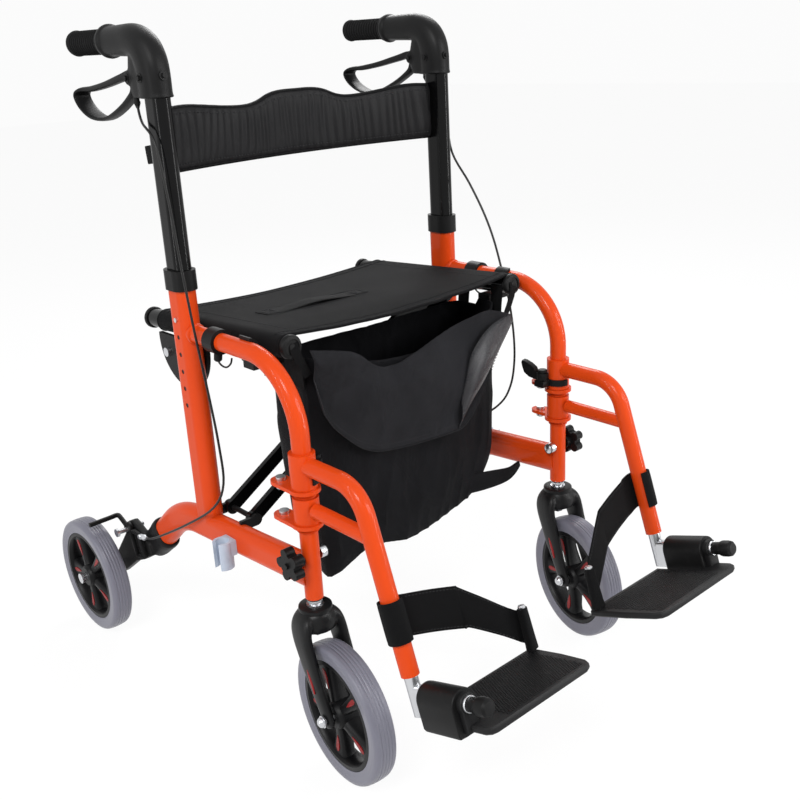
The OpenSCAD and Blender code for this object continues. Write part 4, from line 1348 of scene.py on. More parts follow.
@dataclass
class SeatSling:
    """Taut sling over both seat tubes, with hems, stitches and a pull strap."""

    tube_x: float = 0.212
    centre: Triple = (0.0, 0.079, 0.570)
    half: float = 0.180
    front: float = -0.1785
    rear: float = 0.143
    tilt: float = math.radians(3.3)
    wrap: float = 0.0154
    sag: float = 0.0085
    thick: float = 0.0022

    def point(self, x: float, t: float, h: float) -> Vector:
        """Puts a point of the tilted seat in the chair's frame.

        Args:
            x: across the seat.
            t: along the tubes, front negative.
            h: above the tubes' axes.
        Returns:
            The point.
        """
        c, s = math.cos(self.tilt), math.sin(self.tilt)
        return Vector((x, self.centre[1] + t * c + h * s, self.centre[2] - t * s + h * c))

    def height(self, x: float, t: float) -> float:
        """Height of the cloth between the tubes, with its sag and faint pulls.

        Args:
            x: across the seat.
            t: along the tubes.
        Returns:
            Height above the tubes' axes.
        """
        k = 1 - (x / self.tube_x) ** 2
        front = max(0.0, (-t / self.half - 0.55) / 0.45)
        pull = noise.noise(Vector((x * 9.0, t * 14.0, 2.3))) * 0.0011 * k
        edge = noise.noise(Vector((x * 26.0, 4.1, t * 5.0))) * 0.0012 * front * k
        return self.wrap - self.sag * k - 0.003 * front * k + pull + edge

    def row(self, t: float) -> Ring:
        """One line of the cloth across both tubes.

        Args:
            t: along the tubes.
        Returns:
            Its points.
        """
        out: Ring = []
        turns = [math.radians(a) for a in range(-75, 90, 15)]
        for a in turns:
            out.append(self.point(-self.tube_x - self.wrap * math.cos(a), t,
                                  self.wrap * math.sin(a)))
        steps = 48
        for i in range(steps + 1):
            x = -self.tube_x + 2 * self.tube_x * i / steps
            out.append(self.point(x, t, self.height(x, t)))
        for a in reversed(turns):
            out.append(self.point(self.tube_x + self.wrap * math.cos(a), t,
                                  self.wrap * math.sin(a)))
        return out

    def build(self) -> None:
        """Makes the sling, its hems, stitches, strap and end caps."""
        deep = self.rear - self.front
        rows = [self.row(self.front + deep * i / 40) for i in range(41)]
        cloth = put("seat_cloth", Shape().loft(rows, closed=False).mesh("seat"), SEAT_CLOTH)
        thicken(cloth, self.thick)
        hem = Shape()
        for t in (self.front + 0.0015, self.rear - 0.0015):
            hem.sweep(self.row(t), lambda u: (0.0021, 0.0021), Vector((0, 1, 0.1)), 8)
        for t in (self.front + 0.020, self.rear - 0.020):
            line = [p + Vector((0, 0, 0.0012)) for p in self.row(t)[9:-9]]
            hem.sweep(line, lambda u: (0.0007, 0.0005), UP, 6)
        hems = put("seat_hems", hem.mesh("hems"), SEAT_CLOTH)
        lines = []
        for t in (self.front + 0.006, self.front + 0.017, self.rear - 0.006, self.rear - 0.017):
            lines.append([p + Vector((0, 0, 0.0013)) for p in self.row(t)[10:-10]])
        for x in (-self.tube_x + 0.022, self.tube_x - 0.022):
            lines.append([self.point(x, t, self.height(x, t) + 0.0014) for t in
                          (self.front + deep * (0.005 + 0.99 * i / 24) for i in range(25))])
        seams = Repeats.stitch_line("seat_stitches", lines)
        strap, patches = self._strap()
        for obj, finish in ((cloth, SEAT_CLOTH), (hems, SEAT_CLOTH), (seams, THREAD),
                            (strap, WEBBING), (patches, THREAD)):
            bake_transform(obj)
        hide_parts("seat_sling")
        self._ends()

    def _ends(self) -> None:
        """Makes the caps of both seat tubes and the strap tails that hang before them."""
        for side, body in ((Side.LEFT, "cross_a"), (Side.RIGHT, "cross_b")):
            cap = Shape()
            for t, way in ((-self.half - 0.0015, -1), (self.half + 0.0015, 1)):
                at = self.point(self.tube_x, t, 0)
                axis = self.point(0, way, 0) - self.point(0, 0, 0)
                cap.lathe([(0.0, -0.004), (0.0158, -0.004), (0.0166, -0.002), (0.0166, 0.0018),
                           (0.0150, 0.0042), (0.0110, 0.0052), (0.0104, 0.0036), (0.0050, 0.0036),
                           (0.0044, 0.0050), (0.0, 0.0052)], at, axis, 32)
            fall = [self.point(self.tube_x + dx, -self.half - dt, h) for dx, dt, h in
                    ((-0.001, 0.0040, 0.004), (-0.002, 0.0068, -0.004), (-0.006, 0.0072, -0.016),
                     (-0.013, 0.0066, -0.030), (-0.020, 0.0046, -0.044))]
            tail = Shape().sweep(fall, lambda t: (0.0078 - 0.002 * t, 0.0011),
                                 Vector((0.1, -1, 0)), 12, power=4)
            for name, shape, finish in (("seat_caps", cap, PLASTIC), ("strap_tail", tail, WEBBING)):
                piece = put(f"{side.label}_{name}", shape.mesh(name, side.flip), finish)
                ride(piece, body, finish)

    def _strap(self) -> tuple[bpy.types.Object, bpy.types.Object]:
        """Pull strap across the seat's slit, with its sewn ends.

        Returns:
            The strap and its stitches.
        """
        rings: list[Ring] = []
        x0, x1, mid, half = -0.146, 0.044, -0.020, 0.0165
        for i in range(37):
            u = i / 36
            x = x0 + (x1 - x0) * u
            rise = 0.0012 + 0.0045 * math.sin(math.pi * min(max((u - 0.12) / 0.76, 0), 1)) ** 2
            ring: Ring = []
            for w, h in ((-1, 0), (-0.94, 0.0008), (-0.4, 0.0010), (0.4, 0.0010), (0.94, 0.0008),
                         (1, 0), (0.94, -0.0008), (-0.94, -0.0008)):
                t = mid + w * half
                ring.append(self.point(x, t, self.height(x, t) + rise + h))
            rings.append(ring)
        strap = put("seat_pull_strap", Shape().loft(rings).mesh("strap"), WEBBING)
        lines = []
        for a, b in ((x0 + 0.003, x0 + 0.022), (x1 - 0.022, x1 - 0.003)):
            corners = [(a, -1), (b, -1), (b, 1), (a, 1), (a, -1), (b, 1)]
            lines.append([self.point(x, mid + w * (half - 0.003),
                                     self.height(x, mid) + 0.0030) for x, w in corners])
        slit = [(x0 + 0.010, -1), (x1 - 0.010, -1), (x1 - 0.010, 1), (x0 + 0.010, 1),
                (x0 + 0.010, -1)]
        lines.append([self.point(x, mid + w * (half + 0.006), self.height(x, mid) + 0.0014)
                      for x, w in slit])
        return strap, Repeats.stitch_line("seat_strap_stitches", lines, 0.004)


@dataclass
class ShoppingBag:
    """Slack bag hung between the seat tubes, with a front flap that folds at one corner."""

    half: float = 0.192
    front: float = -0.104
    rear: float = 0.007
    top: float = 0.556
    bottom: float = 0.226
    thick: float = 0.0016
    hem: Outline = (
        (-0.190, -0.022), (-0.135, -0.002), (-0.080, 0.008), (-0.005, -0.004), (0.047, 0.000),
        (0.100, 0.015), (0.150, 0.028), (0.190, 0.036))
    flap_top: Outline = (
        (-0.190, 0.572), (-0.117, 0.552), (-0.065, 0.517), (0.002, 0.523), (0.101, 0.546),
        (0.148, 0.553), (0.192, 0.540))
    flap_low: Outline = (
        (-0.190, 0.528), (-0.173, 0.471), (-0.132, 0.423), (-0.086, 0.399), (-0.019, 0.388),
        (0.043, 0.386), (0.076, 0.388), (0.098, 0.408), (0.135, 0.448), (0.192, 0.524))
    fold_point: tuple[float, float] = (-0.062, 0.520)
    folds: tuple[tuple[float, ...], ...] = ((0.0110, 5.0, 0.6, 0.07, 0.5),
                                            (0.0028, 17.0, 2.0, 0.10, 0.7))
    roll_in: Outline = (
        (0.072, 0.430), (0.094, 0.491), (0.116, 0.517), (0.143, 0.534), (0.183, 0.543))
    roll_out: Outline = (
        (0.066, 0.389), (0.082, 0.409), (0.103, 0.431), (0.125, 0.453), (0.184, 0.526))

    def build(self) -> None:
        """Makes the bag, its loops and its flap."""
        shell = put("bag_shell", Shape().loft(self._rings(), caps=False).mesh("bag"), BAG_CLOTH)
        self._close_floor(shell)
        thicken(shell, self.thick)
        loops = put("bag_loops", self._loops().mesh("loops"), WEBBING)
        tail = put("bag_tail", self._tail().mesh("tail"), BAG_CLOTH)
        flap, rolled, seams = self._flap()
        for obj, finish in ((shell, BAG_CLOTH), (loops, WEBBING), (flap, FLAP_CLOTH),
                            (rolled, LINING), (seams, THREAD), (tail, BAG_CLOTH)):
            ride(obj, "bag_hanging", finish)
            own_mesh(obj)
        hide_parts("bag")
        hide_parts("bag_flap")

    def _rings(self) -> list[Ring]:
        """Level rings of the bag from its floor to its mouth.

        Returns:
            The rings.
        """
        rings: list[Ring] = []
        rows = 40
        loop = self._loop(66, 14)
        for i in range(rows + 1):
            v = i / rows
            z = self.bottom + (self.top - self.bottom) * v
            ring: Ring = []
            mid_y = (self.front + self.rear) / 2
            hw = self.half - 0.006 - 0.020 * (1 - v) ** 3
            hd = (self.rear - self.front) / 2 - 0.004 - 0.012 * (1 - v) ** 4
            for c, s in loop:
                x, y = hw * c, mid_y + hd * s
                low = (1 - v) ** 1.4
                x -= 0.004 * max(x / self.half, 0.0) ** 3 * min(1.0, 2.4 * (1 - v))
                fore = min(max(0.5 - 0.75 * s, 0.0), 1.0)
                lift = low * (fore * outline_height(self.hem, x) + (1 - fore) * 0.014)
                wave = noise.noise(Vector((x * 10.0, y * 16.0, v * 2.2)))
                ripple = noise.noise(Vector((x * 26.0, y * 30.0, v * 5.0 + 3.0)))
                crease = math.sin(x * 46.0 + 1.6 * math.sin(v * 4.0)) * 0.0034 * (0.35 + low)
                ridge = abs(noise.noise(Vector((x * 34.0, y * 9.0, v * 3.0 + 9.0))))
                pinch = 0.0026 * (1 - ridge * 2) ** 3
                push = 0.0060 * wave + 0.0024 * ripple + crease - pinch
                if s < 0:
                    push -= 0.006 * math.sin(math.pi * v) * (1 - (x / self.half) ** 2)
                y_out = min(max(y + push, self.front - 0.004), self.rear)
                x_out = x + 0.004 * noise.noise(Vector((y * 22.0, v * 6.0, 7.7)))
                dip = 0.0
                if v > 0.75:
                    dip = self._mouth_dip(x, s) * (v - 0.75) / 0.25
                ring.append(Vector((x_out, y_out, z + lift - dip)))
            rings.append(ring)
        return rings

    @staticmethod
    def _loop(across: int, deep: int) -> list[tuple[float, float]]:
        """Evenly spaced points round the bag's plan, a square with round corners.

        Args:
            across: points along the front and along the back.
            deep: points along each side.
        Returns:
            Places from -1 to 1 across and from front to back.
        """
        power, turn = 7.7, 0.914
        plan: list[tuple[float, float]] = []
        for k in range(2 * (across + deep)):
            side, step = divmod(k, across + deep)
            face = 1 - 2 * side
            if step < deep:
                t = turn * (2 * step / deep - 1)
                plan.append((face * (1 - abs(t) ** power) ** (1 / power), face * t))
            else:
                t = turn * (1 - 2 * (step - deep) / across)
                plan.append((face * t, face * (1 - abs(t) ** power) ** (1 / power)))
        return plan

    def _mouth_dip(self, x: float, s: float) -> float:
        """How far the mouth's edge hangs below its corners.

        Args:
            x: across the bag.
            s: negative on the front face.
        Returns:
            The drop in metres.
        """
        middle = max(0.0, 1 - (x / (self.half * 0.96)) ** 2)
        return 0.036 * middle if s < 0 else 0.010 + 0.004 * middle

    def _tail(self) -> Shape:
        """Loose corner of the bag's floor that sticks out on the left.

        Returns:
            The shape.
        """
        path = smooth_path([(x, self.front + back, z) for x, back, z in
                            ((0.110, 0.016, 0.268), (0.160, 0.010, 0.262), (0.205, 0.007, 0.259),
                             (0.236, 0.011, 0.266))], 6)
        return Shape().sweep(path, lambda t: (0.017 - 0.012 * t * t, 0.0016),
                             BACK, 16, power=4)

    @staticmethod
    def _close_floor(obj: bpy.types.Object) -> None:
        """Fills the bag's floor with a fan of faces.

        Args:
            obj: the bag, open at both ends.
        """
        bm = bmesh.new()
        bm.from_mesh(obj.data)
        edges = [e for e in bm.edges if e.is_boundary]
        low = min(v.co.z for v in bm.verts)
        floor = [e for e in edges if max(v.co.z for v in e.verts) < low + 0.09]
        bmesh.ops.holes_fill(bm, edges=floor, sides=0)
        faces = [f for f in bm.faces if len(f.verts) > 4]
        bmesh.ops.poke(bm, faces=faces)
        bmesh.ops.recalc_face_normals(bm, faces=bm.faces)
        bm.to_mesh(obj.data)
        bm.free()

    def _loops(self) -> Shape:
        """Webbing loops that hang the bag from the seat tubes.

        Returns:
            The shape.
        """
        shape = Shape()
        for sign in (-1, 1):
            for y in (self.front + 0.018, self.rear - 0.022):
                path = smooth_path([(sign * 0.1915, y, 0.515), (sign * 0.1935, y, 0.545),
                                    (sign * 0.1962, y, 0.566), (sign * 0.1966, y, 0.580)], 4)
                shape.sweep(path, lambda t: (0.012, 0.0011), Vector((sign, 0, 0)), 12, power=5)
        return shape

    def _flap(self) -> tuple[bpy.types.Object, bpy.types.Object, bpy.types.Object]:
        """Front flap, the rolled corner of its lining, and its hem stitches.

        Returns:
            The flap, the roll and the stitches.
        """
        rows: list[Ring] = []
        count, down = 64, 28
        across = [-0.189 + 0.379 * i / count for i in range(count + 1)]
        edges = [[outline_height(line, x) for line in (self.flap_top, self.flap_low)]
                 for x in across]
        for j in range(down + 1):
            v = j / down
            row: Ring = []
            for x, (z0, z1) in zip(across, edges):
                z = z0 + (z1 - z0) * v
                side = x / 0.19
                bulge = 0.010 + 0.010 * math.sin(math.pi * min(v * 1.1, 1.0)) * (1 - side ** 2)
                lip = 0.006 * max(0.0, v - 0.8) / 0.2
                spread = math.atan2(x - self.fold_point[0], self.fold_point[1] - z + 0.02)
                reach = math.hypot(x - self.fold_point[0], z - self.fold_point[1])
                fold = sum(deep * math.sin(waves * spread + shift) * min(reach / grow, 1.0)
                           * (1 - fade * v) for deep, waves, shift, grow, fade in self.folds)
                ripple = 0.0042 * noise.noise(Vector((x * 18.0, z * 20.0, 5.5)))
                corner = 0.010 * max(0.0, side - 0.55) / 0.45 * (1 - v)
                y = self.front - 0.003 - (bulge + lip) * min(1.0, 0.25 + 3 * v) * 0.8
                row.append(Vector((x, y + fold * 0.5 + ripple - corner, z)))
            rows.append(row)
        flap = put("bag_front_flap", Shape().loft(rows, closed=False).mesh("flap"), FLAP_CLOTH)
        thicken(flap, self.thick)
        hem = [p + Vector((0, -0.0016, 0)) for p in rows[-1]]
        inner = [p + Vector((0, -0.0014, 0)) for p in rows[-3]]
        seams = Repeats.stitch_line("bag_flap_stitches", [inner, hem[::2]], 0.005)
        inner, outer = (smooth_path([(x, 0.0, z) for x, z in line], 6)
                        for line in (self.roll_in, self.roll_out))
        strips: list[Ring] = []
        for j, (a, b) in enumerate(zip(inner, outer)):
            bend = 0.006 + 0.010 * math.sin(math.pi * j / (len(inner) - 1))
            strips.append([b.lerp(a, k / 8) + Vector((0, self.front - 0.020
                           - bend * math.sin(math.pi * k / 8), 0)) for k in range(9)])
        rolled = put("bag_flap_roll", Shape().loft(strips, closed=False).mesh("roll"), LINING)
        thicken(rolled, 0.0014)
        return flap, rolled, seams


@dataclass
class Backrest:
    """Gathered band between the handle tubes with a raised middle."""

    half: float = 0.2385
    front: float = 0.0985
    bow: float = 0.034
    low: float = 0.795
    pad: float = 0.0062
    pleats: float = 470.0

    def top(self, x: float) -> float:
        """Height of the band's upper edge.

        Args:
            x: across the band.
        Returns:
            Height in metres.
        """
        return outline_height([(-0.030, 0.8846), (0.0, 0.8850), (0.030, 0.8846), (0.052, 0.8806),
                               (0.074, 0.8722), (0.098, 0.8692), (0.135, 0.8712), (0.200, 0.8778),
                               (0.2385, 0.8764)], abs(x))

    def centre(self, x: float) -> float:
        """Fore-aft place of the band's middle surface, at a place across it."""
        return self.front + self.bow * (1 - (x / self.half) ** 2)

    def build(self) -> None:
        """Makes the padded band, its binding, stitches and tabs."""
        rings: list[Ring] = []
        count = 360
        for i in range(count + 1):
            x = -self.half + 2 * self.half * i / count
            z1 = self.top(x)
            ring: Ring = []
            for c, s in oval(28):
                v = 0.5 + 0.5 * squared(s, 0.75)
                z = self.low + (z1 - self.low) * v
                full = self.pad * squared(c, 0.55)
                slant = x + 0.10 * (z - 0.84) * math.sin(x * 9.0)
                shift = 4.0 * noise.noise(Vector((x * 22.0, z * 9.0, 0.0)))
                gather = (math.sin(slant * self.pleats + shift)
                          + 1.1 * noise.noise(Vector((slant * 95.0, z * 12.0, 4.0))))
                wob = 1.0 + 0.11 * gather * math.sin(math.pi * min(max(v, 0.03), 0.97)) ** 0.4
                drift = 0.0012 * noise.noise(Vector((x * 20.0, z * 26.0, 3.0)))
                ring.append(Vector((x, self.centre(x) - full * wob + drift, z)))
            rings.append(ring)
        band = put("backrest_band", Shape().loft(rings).mesh("band"), BACK_CLOTH, 60.0)
        tape = Shape()
        for edge in ("low", "high"):
            path = []
            for i in range(81):
                x = -self.half + 2 * self.half * i / 80
                z = self.low + 0.0006 if edge == "low" else self.top(x) - 0.0006
                path.append(Vector((x, self.centre(x), z)))
            tape.sweep(path, lambda t: (0.0036, 0.0030), UP, 10)
        for sign in (-1, 1):
            x = sign * (self.half - 0.003)
            path = [Vector((x, self.centre(x), z)) for z in (0.796, 0.815, 0.84, 0.86, 0.875)]
            tape.sweep(path, lambda t: (0.0040, 0.0064), BACK, 10)
        binding = put("backrest_binding", tape.mesh("binding"), BINDING)
        lines = []
        for share in (0.10, 0.90):
            line = []
            for i in range(60):
                x = -self.half * 0.97 + 2 * self.half * 0.97 * i / 59
                z = self.low + (self.top(x) - self.low) * share
                line.append(Vector((x, self.centre(x) - 0.0066, z)))
            lines.append(line)
        seams = Repeats.stitch_line("backrest_stitches", lines, 0.0055)
        for obj, finish in ((band, BACK_CLOTH), (binding, BINDING), (seams, THREAD)):
            ride(obj, "right_handle", finish)
            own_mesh(obj)
        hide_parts("backrest")
        for side in Side:
            tab = Shape()
            path = [Vector((0.2372, y, z)) for y, z in
                    ((0.096, 0.8210), (0.118, 0.8200), (0.142, 0.8170), (0.166, 0.8140))]
            tab.sweep(path, lambda t: (0.0125, 0.0017), ACROSS, 12, power=6)
            fit(side, "backrest_tab", tab, WEBBING, "handle")


@dataclass
class FootFrame:
    """Frame on a footplate's hinge axis: x across, y to the rear, z up the leg."""

    side: Side
    lean: float = math.radians(18.8)
    origin: Triple = (0.252, -0.35859, 0.199)

    def place(self, x: float, y: float, z: float) -> Vector:
        """Puts a point of this frame in the chair's frame.

        Args:
            x: across, inwards negative.
            y: to the rear.
            z: along the leg, upwards.
        Returns:
            The point on the left side.
        """
        c, s = math.cos(self.lean), math.sin(self.lean)
        ox, oy, oz = self.origin
        return Vector((ox + x, oy + y * c + z * s, oz - y * s + z * c))

    def way(self, x: float, y: float, z: float) -> Triple:
        """A direction of this frame in the chair's frame."""
        return tuple(self.place(x, y, z) - self.place(0, 0, 0))


@dataclass
class HeelStrap(FootFrame):
    """Webbing that laps round the leg and the footplate's peg."""

    height: float = 0.057
    thick: float = 0.0024
    loose: tuple[float, float] = (0.45, 0.9)
    sewn: tuple[int, int] = (32, 60)
    points: tuple[Triple, ...] = (
        (-0.010, -0.012, 0.093), (0.000, -0.0154, 0.093), (0.011, -0.0109, 0.093),
        (0.0154, 0.000, 0.093), (0.0109, 0.011, 0.093), (0.000, 0.0154, 0.0925),
        (-0.016, 0.015, 0.0905), (-0.060, 0.0092, 0.080), (-0.100, 0.0026, 0.0685),
        (-0.105, 0.0014, 0.0665), (-0.110, 0.0002, 0.064), (-0.140, -0.0070, 0.041),
        (-0.162, -0.0125, 0.023), (-0.176, -0.0165, 0.012), (-0.184, -0.0185, 0.009))

    def build(self) -> None:
        """Makes the strap and its edge seams."""
        label, flip, sign = self.side.label, self.side.flip, self.side.value
        path = smooth_path(self.points, 5)
        rings: list[Ring] = []
        edges: list[list[Vector]] = [[], []]
        count = len(path)
        for i, p in enumerate(path):
            run = path[min(i + 1, count - 1)] - path[max(i - 1, 0)]
            out = Vector((-run.y, run.x, 0)).normalized() * self.thick / 2
            u = i / (count - 1)
            tall = self.height / 2 * blend_values(
                [(0, 0.94), (0.36, 0.94), (0.62, 1.02), (0.86, 0.82), (0.94, 0.80), (1, 0.92)], u)
            loose = 1 if self.loose[0] < u < self.loose[1] else 0
            curl = 0.0020 * math.sin(9.0 * u) * loose
            wave = 0.0016 * noise.noise(Vector((u * 7.0, 2.0, 0.5))) * loose
            ring: Ring = []
            for face in (-1, 1):
                for k in range(9):
                    w = (-1 + 2 * k / 8) * -face
                    ring.append(p + out * face * (1 - 0.3 * abs(w) ** 6)
                                + Vector((0, curl * w + wave, tall * w)))
            rings.append([self.place(*q) for q in ring])
            if self.sewn[0] <= i <= self.sewn[1]:
                for line, w in zip(edges, (-0.88, 0.88)):
                    q = p + out * 1.15 + Vector((0, curl * w + wave, tall * w))
                    line.append(self.place(*q))
        strap = put(f"{label}_heel_webbing", Shape().loft(rings).mesh("webbing", flip), WEBBING)
        lines = [[Vector((sign * v.x, v.y, v.z)) for v in line] for line in edges]
        seams = Repeats.stitch_line(f"{label}_heel_stitches", lines, 0.005)
        start, end = self.place(-0.030, 0.0135, 0.088), self.place(-0.170, -0.0150, 0.017)
        for obj, finish in ((strap, WEBBING), (seams, THREAD)):
            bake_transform(obj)
        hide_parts(f"{label}_strap")


@dataclass
class FootRest(FootFrame):
    """Hinge block with lock knob, and the ribbed plate with its peg."""

    outline: Outline = (
        (-0.1895, -0.0140), (-0.1865, -0.070), (-0.1800, -0.117), (-0.1755, -0.1248),
        (-0.167, -0.1285), (-0.005, -0.1285), (0.002, -0.1258), (0.0058, -0.119),
        (0.0058, -0.0868), (-0.0264, -0.0868), (-0.0264, -0.0115), (-0.187, -0.0115))
    drop: float = 0.024
    peg: tuple[float, float] = (-0.182, -0.024)
    tread_count: tuple[int, int] = (38, 29)
    tread_step: tuple[float, float] = (0.0039, 0.0036)

    def build(self) -> None:
        """Makes and seats the pieces of the footrest."""
        side, label, sign = self.side, self.side.label, self.side.value
        fit(side, "plate_body", self._plate(), PLATE, "foot_plate", "footplate", flat_angle=30.0)
        spots: list[Triple] = []
        (columns, rows), (step, deep) = self.tread_count, self.tread_step
        for i in range(rows):
            for j in range(columns):
                x = -0.034 - step * j - step / 2 * (i % 2)
                y = -0.0195 - deep * i
                if x > -0.180 - 0.085 * y:
                    at = self.place(x, y, -self.drop)
                    spots.append((sign * at.x, at.y, at.z))
        grid = Repeats.run(f"{label}_plate_tread", Repeats.bars, spots, [],
                           {"Length": 0.0025, "Width": 0.0022, "Rise": 0.0014}, PLATE,
                           [self.way(0, 0, 1)] * len(spots))
        ride(grid, f"{label}_foot_plate", PLATE)
        sleeve = [self.place(*self.peg, z) for z in (-0.0215, -0.012, 0.004, 0.020, 0.0355)]
        wrap = Shape().sweep(sleeve, lambda t: (0.0102 - 0.0034 * t, 0.0060),
                             Vector(self.way(0.25, 1, 0)), 20, power=3)
        fit(side, "peg_sleeve", wrap, WEBBING, "foot_plate")
        tip = Shape().lathe([(0.0, 0.0), (0.0050, 0.0), (0.0054, 0.0008), (0.0054, 0.0030),
                             (0.0040, 0.0046), (0.0, 0.0050)],
                            self.place(*self.peg, 0.0352), self.way(0, 0, 1), 24)
        fit(side, "peg_tip", tip, STEEL, "foot_plate")
        fit(side, "hinge_block", self._block(), PLASTIC, "leg_extension", "block", flat_angle=30.0)
        collar = Shape().lathe([(0.0, 0.0), (0.0100, 0.0), (0.0104, 0.0006), (0.0104, 0.0036),
                                (0.0100, 0.0042), (0.0, 0.0042)],
                               self.place(0, -0.0970, 0), self.way(0, -1, 0), 28)
        web = [self.place(0, y, -0.0105) for y in (-0.027, -0.018, -0.008, 0.0)]
        collar.sweep(web, lambda t: (0.0085, 0.0205), Vector(self.way(0, 0, 1)), 20, power=5)
        fit(side, "knob_collar", collar, STEEL, "leg_extension")

    def _plate(self) -> Shape:
        """Plate with eased rim, hinge arm and peg.

        Returns:
            The shape.
        """
        at = Matrix.Translation(self.place(0, 0, -self.drop - 0.009)).to_4x4()
        axes = Matrix((self.way(1, 0, 0), self.way(0, 1, 0), self.way(0, 0, 1))).transposed()
        shape = Shape().slab(self.outline, 0.009, at @ axes.to_4x4(), 0.0022)
        shape.lathe([(0.0, 0.0), (0.0122, 0.0), (0.0130, 0.001), (0.0130, 0.012), (0.0122, 0.013),
                     (0.0, 0.013)], self.place(0, -0.0845, 0), self.way(0, -1, 0), 28)
        web = [self.place(0, -0.0915, z) for z in (-0.0325, -0.020, -0.008, 0.0)]
        shape.sweep(web, lambda t: (0.0112, 0.0060), Vector(self.way(0, 1, 0)), 16, power=5)
        peg = [self.place(*self.peg, z) for z in (-0.0245, -0.015, 0.010, 0.0350)]
        return shape.tube(peg, 0.0036, 16)

    def _block(self) -> Shape:
        """Round-topped block and the lock knob before it.

        Returns:
            The shape.
        """
        outline: list[tuple[float, float]] = []
        for k in range(17):
            ang = math.pi * k / 16
            outline.append((0.020 * math.cos(ang), -0.002 + 0.0195 * math.sin(ang)))
        outline += [(-0.020, -0.016), (-0.0198, -0.034), (-0.0178, -0.0378), (-0.008, -0.0386),
                    (0.008, -0.0386), (0.0178, -0.0378), (0.0198, -0.034), (0.020, -0.016)]
        shape = Shape()
        rings = []
        for y, k in ((-0.0240, 0.95), (-0.0252, 0.99), (-0.028, 1.0), (-0.0862, 1.0),
                     (-0.0888, 0.99), (-0.0898, 0.955)):
            rings.append([self.place(x * k, y, -0.0055 + (z + 0.0055) * k) for x, z in outline])
        shape.loft(rings)
        shape.lathe([(0.0, 0.0), (0.0086, 0.0), (0.0090, 0.001), (0.0092, 0.010), (0.0108, 0.0135),
                     (0.0116, 0.0165), (0.0116, 0.0245), (0.0108, 0.0290), (0.0080, 0.0318),
                     (0.0, 0.0324)], self.place(0, -0.1008, 0), self.way(0, -1, 0), 32)
        return shape


@dataclass
class RearBracket:
    """Moulded socket on the rail's tail with its axle arm, and the bent brake arm beside it."""

    side: Side
    tail: Triple = (0.252, 0.090, 0.272)
    tilt: float = 4.0
    drop: float = 37.0
    bend: float = 0.140
    arm_x: float = 0.2805

    def build(self) -> None:
        """Makes the socket and the brake arm."""
        fit(self.side, "tail_socket", self._socket(), PLASTIC, "frame", "bracket",
            melt=(0.0013, 8))
        fit(self.side, "brake_bar", self._arm(), PLASTIC, "brake", "brake_arm")

    def _place(self) -> Matrix:
        """Frame of the rail's tail, Y along the tail.

        Returns:
            The matrix.
        """
        return (Matrix.Translation(self.tail) @ Matrix.Rotation(-math.radians(self.tilt), 4, "X")
                @ Matrix.Translation((0, 0.038, -self.bend))
                @ Matrix.Rotation(-math.radians(self.drop), 4, "X")
                @ Matrix.Translation((0, 0, self.bend)))

    def _socket(self) -> Shape:
        """Oval collar that narrows into a flat arm down to the axle.

        Returns:
            The shape.
        """
        shape, at = Shape(), self._place()
        stops = ((0.041, 0.0182, 0.0262), (0.046, 0.0198, 0.0280), (0.056, 0.0197, 0.0278),
                 (0.068, 0.0192, 0.0266), (0.084, 0.0186, 0.0258), (0.093, 0.0178, 0.0248),
                 (0.100, 0.0150, 0.0215))
        shape.loft([[at @ Vector((wide * c, run, tall * s)) for c, s in oval(32, 0.8)]
                    for run, wide, tall in stops])
        plate = Matrix(((0, 0, 1, 0.2612), (1, 0, 0, 0), (0, 1, 0, 0), (0, 0, 0, 1)))
        shape.slab([(0.262, 0.164), (0.292, 0.146), (0.326, 0.130), (0.386, 0.086), (0.400, 0.084),
                    (0.411, 0.094), (0.411, 0.106), (0.404, 0.116), (0.342, 0.186), (0.334, 0.204),
                    (0.322, 0.209), (0.308, 0.204), (0.286, 0.194), (0.268, 0.182)],
                   0.0140, plate, 0.0016)
        return shape

    def _arm(self) -> Shape:
        """Bent bar over the tyre, its pivot boss and the window that takes the adjuster.

        Returns:
            The shape.
        """
        shape, x = Shape(), self.arm_x
        path = smooth_path([(x, 0.318, 0.192), (x, 0.330, 0.199), (x, 0.346, 0.2065),
                            (x, 0.3555, 0.2090), (x + 0.003, 0.3590, 0.2092),
                            (x + 0.012, 0.3592, 0.2088), (x + 0.032, 0.3592, 0.2086),
                            (x + 0.0515, 0.3592, 0.2084)], 5)
        shape.sweep(path, lambda t: (0.0034, 0.0034), UP, 16, power=5)
        window = [Vector((x, y, z)) for y, z in
                  ((0.316, 0.194), (0.310, 0.174), (0.303, 0.152), (0.290, 0.156), (0.277, 0.161),
                   (0.284, 0.182), (0.288, 0.197), (0.302, 0.197))]
        shape.sweep(window, lambda t: (0.0040, 0.0028), ACROSS, 12, loop=True, power=5)
        shape.lathe([(0.0042, -0.0034), (0.0112, -0.0034), (0.0118, -0.0026), (0.0118, 0.0026),
                     (0.0112, 0.0034), (0.0042, 0.0034)], (x, 0.322, 0.196), ACROSS, 32)
        return shape


